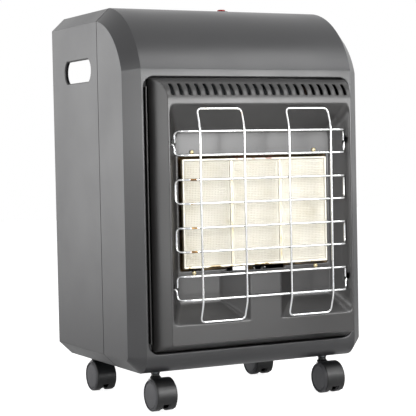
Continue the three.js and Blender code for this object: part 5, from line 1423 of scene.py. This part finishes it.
BUTTON_TOP = RIM_TOP + FIT + BEZEL_HEIGHT + 3.4
BUTTON_LENGTH = 16.0
BUTTON_DOME = 1.2
NUT_LOW, NUT_HIGH = RIM_TOP - 11.3, RIM_TOP - 7.3
NUT_BORE = 8.3
DIAL_RADIUS = (36.0, 40.5)
DIAL_MARKS = 10
DIAL_SWING = math.radians(225)
MARK_HALF = (0.35, 1.1)  # half width of the first mark and of the last
MARK_PROUD = 0.25
CONTROL_WALL = 0.8


def ring_at(centre, radius, z, steps=64):
    """A level circle of points."""
    angle = np.linspace(0, 2 * math.pi, steps, endpoint=False)
    x, y = centre[0] + radius * np.cos(angle), centre[1] + radius * np.sin(angle)
    return np.stack([x, y, np.full(steps, float(z))], -1)


def control_panel_sheet():
    """The controls' moulded panel: a plate with a rolled rim, the knob's well with a rounded lip, and
    a hole for the igniter, drawn as one sheet, and raised marks round the well for the settings."""
    rows = [control_opening(RIM_LAP - inset, RIM_TOP - drop) for drop, inset in quarter(RIM_EDGE, 5)]
    floor = RIM_TOP - WELL_DEPTH
    well = [ring_at(KNOB_AT, WELL_RADIUS + out, RIM_TOP - drop) for out, drop in quarter(WELL_LIP, 6)]
    well += [ring_at(KNOB_AT, WELL_RADIUS - inset, floor + rise) for rise, inset in quarter(WELL_FILLET, 6)]
    well.append(ring_at(KNOB_AT, SPINDLE_BORE, floor))
    hole = ring_at(IGNITER_AT, IGNITER_RADIUS + FIT, RIM_TOP, 40)
    deep = ring_at(IGNITER_AT, IGNITER_RADIUS + FIT, RIM_TOP - IGNITER_COLLAR, 40)
    patches = [grid(closed_rows(rows)), filled(rows[-1], [well[0], hole]), grid(closed_rows(well)),
               grid(closed_rows([hole, deep]))]
    piece("control_panel_moulded", patches, black_plastic, "cabinet", ["control_panel"],
          outside=(0, 0, 1), wall=CONTROL_WALL)
    marks = []
    near, far = DIAL_RADIUS
    for share in np.arange(DIAL_MARKS) / (DIAL_MARKS - 1):
        turn = DIAL_SWING * share - math.pi / 2
        half = MARK_HALF[0] + (MARK_HALF[1] - MARK_HALF[0]) * share
        along = np.array([math.cos(turn), math.sin(turn)])
        aside = np.array([-math.sin(turn), math.cos(turn)]) * half
        corners = [along * near - aside, along * far - aside, along * far + aside, along * near + aside]
        marks += drawn(np.array(corners) + KNOB_AT, RIM_TOP - 0.1, RIM_TOP + MARK_PROUD)
    piece("dial_marks", marks, mark_white, "cabinet", bevels=((0.12, 2),))


def control_knob():
    """The knob: a skirt whose side is ribbed, r = R - c (1 - cos n a), and a grip bar with a rounded
    crown and a white pointer."""
    angle = np.linspace(0, 2 * math.pi, KNOB_RIBS * 8 + 1)
    angle[-1] = 0
    shoulder = KNOB_LOW + KNOB_SKIRT
    corners = [(0, KNOB_LOW), (KNOB_RADIUS, KNOB_LOW), (KNOB_RADIUS, shoulder), (16, shoulder + 0.6)]
    profile = route([*corners, (0, shoulder + 1)], 1.4, 5)
    radius = profile[:, :1]
    share = np.clip((radius - KNOB_RADIUS + RIB_FADE) / RIB_FADE, 0, 1)
    ribbed = share * RIB_DEPTH * (1 - np.cos(KNOB_RIBS * angle))
    reach = radius - ribbed
    rows = np.stack([KNOB_AT[0] + reach * np.cos(angle), KNOB_AT[1] + reach * np.sin(angle),
                     np.broadcast_to(profile[:, 1:], reach.shape)], -1)
    patches = [grid(rows)]
    top = KNOB_LOW + KNOB_HEIGHT
    layers = [(0, shoulder - 1)]
    layers += [(0.6 * inset, top - drop) for drop, inset in quarter(GRIP_CROWN, 6)]
    loops = []
    for inset, z in layers:
        flat = rounded(GRIP_HALF - inset, -GRIP_REACH + inset, GRIP_REACH - inset, GRIP_CORNER - inset, 6)
        loops.append(np.stack([KNOB_AT[0] + flat[:, 0], KNOB_AT[1] + flat[:, 1], np.full(len(flat), z)], -1))
    patches += [grid(closed_rows(loops)), filled(loops[0]), filled(loops[-1])]
    piece("control_knob_moulded", patches, black_plastic, "knob", ["control_knob"], sharp=45)
    pointer = block((KNOB_AT[0] - 0.6, KNOB_AT[1] - GRIP_REACH + 2.5, top - 0.3),
                    (KNOB_AT[0] + 0.6, KNOB_AT[1] - 3.0, top + 0.15))
    piece("knob_pointer", pointer, mark_white, "knob", bevels=((0.12, 2),))


def igniter():
    """The igniter: a threaded barrel with a bezel, an open nut round it and a domed button in it."""
    seat = RIM_TOP + FIT
    face = seat + BEZEL_HEIGHT
    bore = BUTTON_RADIUS + FIT
    low = RIM_TOP - IGNITER_LENGTH
    rib = [(IGNITER_RADIUS - THREAD_DEPTH * (i % 2), seat - 2 - i) for i in range(THREADS)]
    body = [(0, low), (IGNITER_RADIUS - 1, low), (IGNITER_RADIUS - 1, rib[-1][1] - 1), *rib[::-1],
            (IGNITER_RADIUS, seat), (BEZEL_RADIUS, seat), (BEZEL_RADIUS, seat + 0.5),
            (BEZEL_RADIUS - 0.8, face), (bore, face), (bore, face - BORE_DEPTH), (0, face - BORE_DEPTH)]
    patches = [turned(body, (*IGNITER_AT, 0))]
    hexagon, core = ring_at(IGNITER_AT, BEZEL_RADIUS, NUT_LOW, 6), ring_at(IGNITER_AT, NUT_BORE, NUT_LOW)
    lift = (0, 0, NUT_HIGH - NUT_LOW)
    patches += [grid(closed_rows([hexagon, hexagon + lift])), grid(closed_rows([core, core + lift])),
                filled(hexagon, [core]), filled(hexagon + lift, [core + lift])]
    piece("igniter_barrel", patches, black_plastic, "cabinet", ["igniter_body"],
          bevels=((0.2, 2),))
    sweep = np.linspace(0, math.pi / 2, 9)
    dome = [(BUTTON_RADIUS * math.sin(a), BUTTON_TOP - BUTTON_DOME * (1 - math.cos(a))) for a in sweep]
    cap = [*dome, (BUTTON_RADIUS, BUTTON_TOP - BUTTON_LENGTH), (0, BUTTON_TOP - BUTTON_LENGTH)]
    piece("igniter_button_moulded", [turned(cap, (*IGNITER_AT, 0))], red_plastic, "igniter_button",
          ["igniter_button"])


# ---------------------------------------------------------------- rear panel

REAR_FACE = 299.5
REAR_HALF = 195.0
REAR_LOW, REAR_HIGH = 22.5, 400.0
REAR_CORNER = 18.0
REAR_SHEET = 1.2
LOUVRE_BASES = (60.0, 270.0)
LOUVRE_COUNT = 6
LOUVRE_PITCH = 15.0
LOUVRE_X = 85.0
LOUVRE_HALF = 35.0
LOUVRE_RISE = 8.0
LOUVRE_PROUD = 2.4
LOUVRE_MOUTH = 0.8
BEAD = (176.0, 42.0, 384.0)
BEAD_PROUD = 1.2
BEAD_SLOPE = 5.0
BEAD_BORDER = 3.0
HINGE = (302.3, 22.0)
BARREL_X = (108.0, 132.0)
BARREL_RADIUS = 4.0
BARREL_BORE = 2.3
EAR_X = (132.5, 137.5)
NOTCH_ROOM = 1.5


def rear_panel_sheet():
    """The rear panel: its depth is a shallow raised field, whose sides are smooth steps, plus the
    louvres, each a cosine hood that starts at a lanced mouth and dies out above it."""
    lows = np.array([base + LOUVRE_PITCH * row for base in LOUVRE_BASES for row in range(LOUVRE_COUNT)])
    steps = np.array([-LOUVRE_MOUTH, 0, 1.5, 3.0, 4.5, 6.0, LOUVRE_RISE])
    half_x, low_z, high_z = BEAD
    outside = np.array([low_z - BEAD_BORDER, low_z, low_z + BEAD_SLOPE / 2, low_z + BEAD_SLOPE])
    heights = np.unique(np.concatenate([
        (lows[:, None] + steps).ravel(), outside, low_z + high_z - outside, np.arange(160.0, 262, 8),
    ]))
    edge = half_x + low_z - outside
    ends = LOUVRE_X + LOUVRE_HALF * np.array([-1, -0.97, -0.92, -0.85, 0.85, 0.92, 0.97, 1])
    right = np.concatenate([[20, 35], ends, np.linspace(LOUVRE_X - 24, LOUVRE_X + 24, 9), [140, 155], edge])
    columns = np.unique(np.concatenate([-right, [0], right]))
    x, z = np.meshgrid(columns, heights)
    inside = np.minimum(half_x - np.abs(x), np.minimum(z - low_z, high_z - z))
    share = np.clip(inside / BEAD_SLOPE, 0, 1)
    proud = BEAD_PROUD * share**2 * (3 - 2 * share)
    nearest = lows[np.argmin(np.abs(z[..., None] - lows - LOUVRE_RISE / 2), -1)]
    rise = (z - nearest) / LOUVRE_RISE
    taper = np.clip((LOUVRE_HALF - np.abs(np.abs(x) - LOUVRE_X)) / (LOUVRE_HALF * 0.15), 0, 1)
    hood = LOUVRE_PROUD * np.sqrt(taper * (2 - taper)) * (0.5 + 0.5 * np.cos(math.pi * np.clip(rise, 0, 1)))
    hood = np.where((rise >= -1e-6) & (rise <= 1), hood, 0)
    field = np.stack([x, REAR_FACE + proud + hood, z], -1)
    points, faces = grid(field)
    mouths = (hood[1:, :-1] > 0.3) & (hood[1:, 1:] > 0.3) & (hood[:-1, :-1] < 0.1) & (hood[:-1, 1:] < 0.1)
    faces = faces[~mouths.ravel()]
    border_loop = np.concatenate([field[0, :-1], field[:-1, -1], field[-1, :0:-1], field[:0:-1, 0]])
    outline = rounded(REAR_HALF, REAR_LOW, REAR_HIGH, REAR_CORNER, 8)
    notch_top = HINGE[1] + BARREL_RADIUS + NOTCH_ROOM
    notches = []
    for side in (-1, 1):
        near, far = sorted((side * BARREL_X[1], side * (EAR_X[1] + 0.5)))
        notches += [(near, REAR_LOW), (near, notch_top), (far, notch_top), (far, REAR_LOW)]
    foot = np.argmax(np.abs(outline[:, 1] - REAR_LOW) < 1e-6) + 1
    ring = filled(lifted(np.insert(outline, foot, notches, 0), REAR_FACE), [border_loop])
    piece("rear_panel_sheet", [(points, faces), ring], coat, "rear_panel", ["rear_panel"],
          outside=(0, 1, 0), wall=REAR_SHEET, bevels=((0.3, 2),))
    barrels = []
    for side in (-1, 1):
        start, end = sorted((side * BARREL_X[0], side * BARREL_X[1]))
        section = [(BARREL_BORE, start), (BARREL_RADIUS, start), (BARREL_RADIUS, end), (BARREL_BORE, end)]
        barrels.append(turned(route([*section, section[0]], 0.4, 2), (0, *HINGE), 0, 32))
    piece("rear_panel_barrels", barrels, coat, "rear_panel")


def pivot_ears():
    """The ears at the foot of the rear cover that carry the rear panel's pivots."""
    patches = []
    for side in (-1, 1):
        start, end = sorted((side * EAR_X[0], side * EAR_X[1]))
        patches += block((start, BODY_DEPTH - SHEET, REAR_FLANGE - SHEET),
                         (end, HINGE[0] + BARREL_RADIUS, HINGE[1] + BARREL_RADIUS))
    return piece("rear_cover_ears", patches, coat, "cabinet", bevels=((0.8, 3),))


# ---------------------------------------------------------------- the studio

WORLD_LIGHT = 0.13  # what the white surround gives to the object
FLOOR_GLOW = 0.9  # with the lamps' light, white
FLOOR_MIRRORED = 0.25  # the floor's white in reflections, low so that the undersides stay dark
FLOOR_REACH = 6.0
FLOOR_DROP = 0.0016  # keeps the wheels' foot out of the floor
LAMPS = (  # name, place, what it is aimed at, size and power, in metres and watts
    ("front softbox", (0.42, -0.98, 0.51), (0.0, -0.1, 0.46), (0.62, 0.26), 5.2),
    ("front strip", (0.42, -1.3, 0.2), (-0.1, -0.15, 0.2), (0.3, 0.5), 2.2),
    ("high softbox", (0.74, -1.14, 1.5), (0.0, -0.1, 0.5), (0.9, 0.7), 7.0),
    ("left softbox", (-1.6, -1.1, 0.68), (-0.2, -0.1, 0.4), (0.5, 0.9), 9.0),
    ("side softbox", (-1.5, 1.05, 0.56), (-0.2, 0.0, 0.33), (2.1, 1.5), 17.0),
)


def seen_directly(tree, mirrored):
    """1 for what the camera sees straight or through glass, the given share for what it sees in a
    reflection, and 0 for other light."""
    path = add(tree, "LightPath")
    shine = add(tree, "Math", {0: path.outputs["Is Glossy Ray"]}, operation="MULTIPLY", i1=mirrored)
    shown = add(tree, "Math", {0: path.outputs["Is Camera Ray"], 1: shine}, operation="MAXIMUM")
    return add(tree, "Math", {0: shown, 1: path.outputs["Is Transmission Ray"]}, operation="MAXIMUM")


def studio():
    """A pale floor and a white surround, with softboxes low and high in front to the right, one to
    the left and a broad one behind it for the side."""
    floor_shader = bpy.data.materials.new("pale_floor_paper")
    floor_shader.use_nodes = True
    tree = floor_shader.node_tree
    surface = tree.nodes["Principled BSDF"]
    surface.inputs["Base Color"].default_value = colour("#f4f4f4")
    surface.inputs["Roughness"].default_value = 0.9
    surface.inputs["Emission Color"].default_value = colour("#ffffff")
    seen = seen_directly(tree, FLOOR_MIRRORED)
    glow = add(tree, "MapRange", {0: seen}, i1=0.0, i2=1.0, i3=0.0, i4=FLOOR_GLOW)
    feed(tree, surface, {"Emission Strength": glow})
    mesh = bpy.data.meshes.new("floor")
    corners = [(x * FLOOR_REACH, y * FLOOR_REACH, -FLOOR_DROP) for x, y in CORNERS]
    mesh.from_pydata(corners, [], [(0, 1, 2, 3)])
    floor = bpy.data.objects.new("floor", mesh)
    mesh.materials.append(floor_shader)
    bpy.context.scene.collection.objects.link(floor)
    world = bpy.data.worlds.new("white surround")
    world.use_nodes = True
    bpy.context.scene.world = world
    tree = world.node_tree
    tree.nodes.clear()
    strength = add(tree, "MapRange", {0: seen_directly(tree, 1.0)}, i1=0.0, i2=1.0, i3=WORLD_LIGHT, i4=1.0)
    back = add(tree, "Background", {"Strength": strength}, Color=colour("#ffffff"))
    add(tree, "OutputWorld", {"Surface": back})
    for name, place, aim, size, power in LAMPS:
        lamp = bpy.data.lights.new(name, "AREA")
        lamp.shape = "RECTANGLE"
        lamp.size, lamp.size_y = size
        lamp.energy = power
        holder = bpy.data.objects.new(name, lamp)
        bpy.context.scene.collection.objects.link(holder)
        holder.location = place
        holder.visible_camera = False
        holder.rotation_euler = (Vector(aim) - Vector(place)).to_track_quat("-Z", "Y").to_euler()


finish_cad_nodes()
front_casing_sheet()
rear_cover_sheet()
front_panel_sheet()
guard_wires()
panel_edge_strips()
for side, middle in (("left", -PLAQUE_PITCH), ("centre", 0.0), ("right", PLAQUE_PITCH)):
    plaque(side, middle)
burner_frame_steel()
for level, place in zip(("lower", "upper"), SCREW_AT):
    frame_screw(f"frame_screw_{level}_left", -place[0], place[1])
    frame_screw(f"frame_screw_{level}_right", *place)
for probe in PROBES:
    pilot_probe(*probe)
pilot_head()
castors()
control_panel_sheet()
control_knob()
igniter()
rear_panel_sheet()
pivot_ears()
studio()
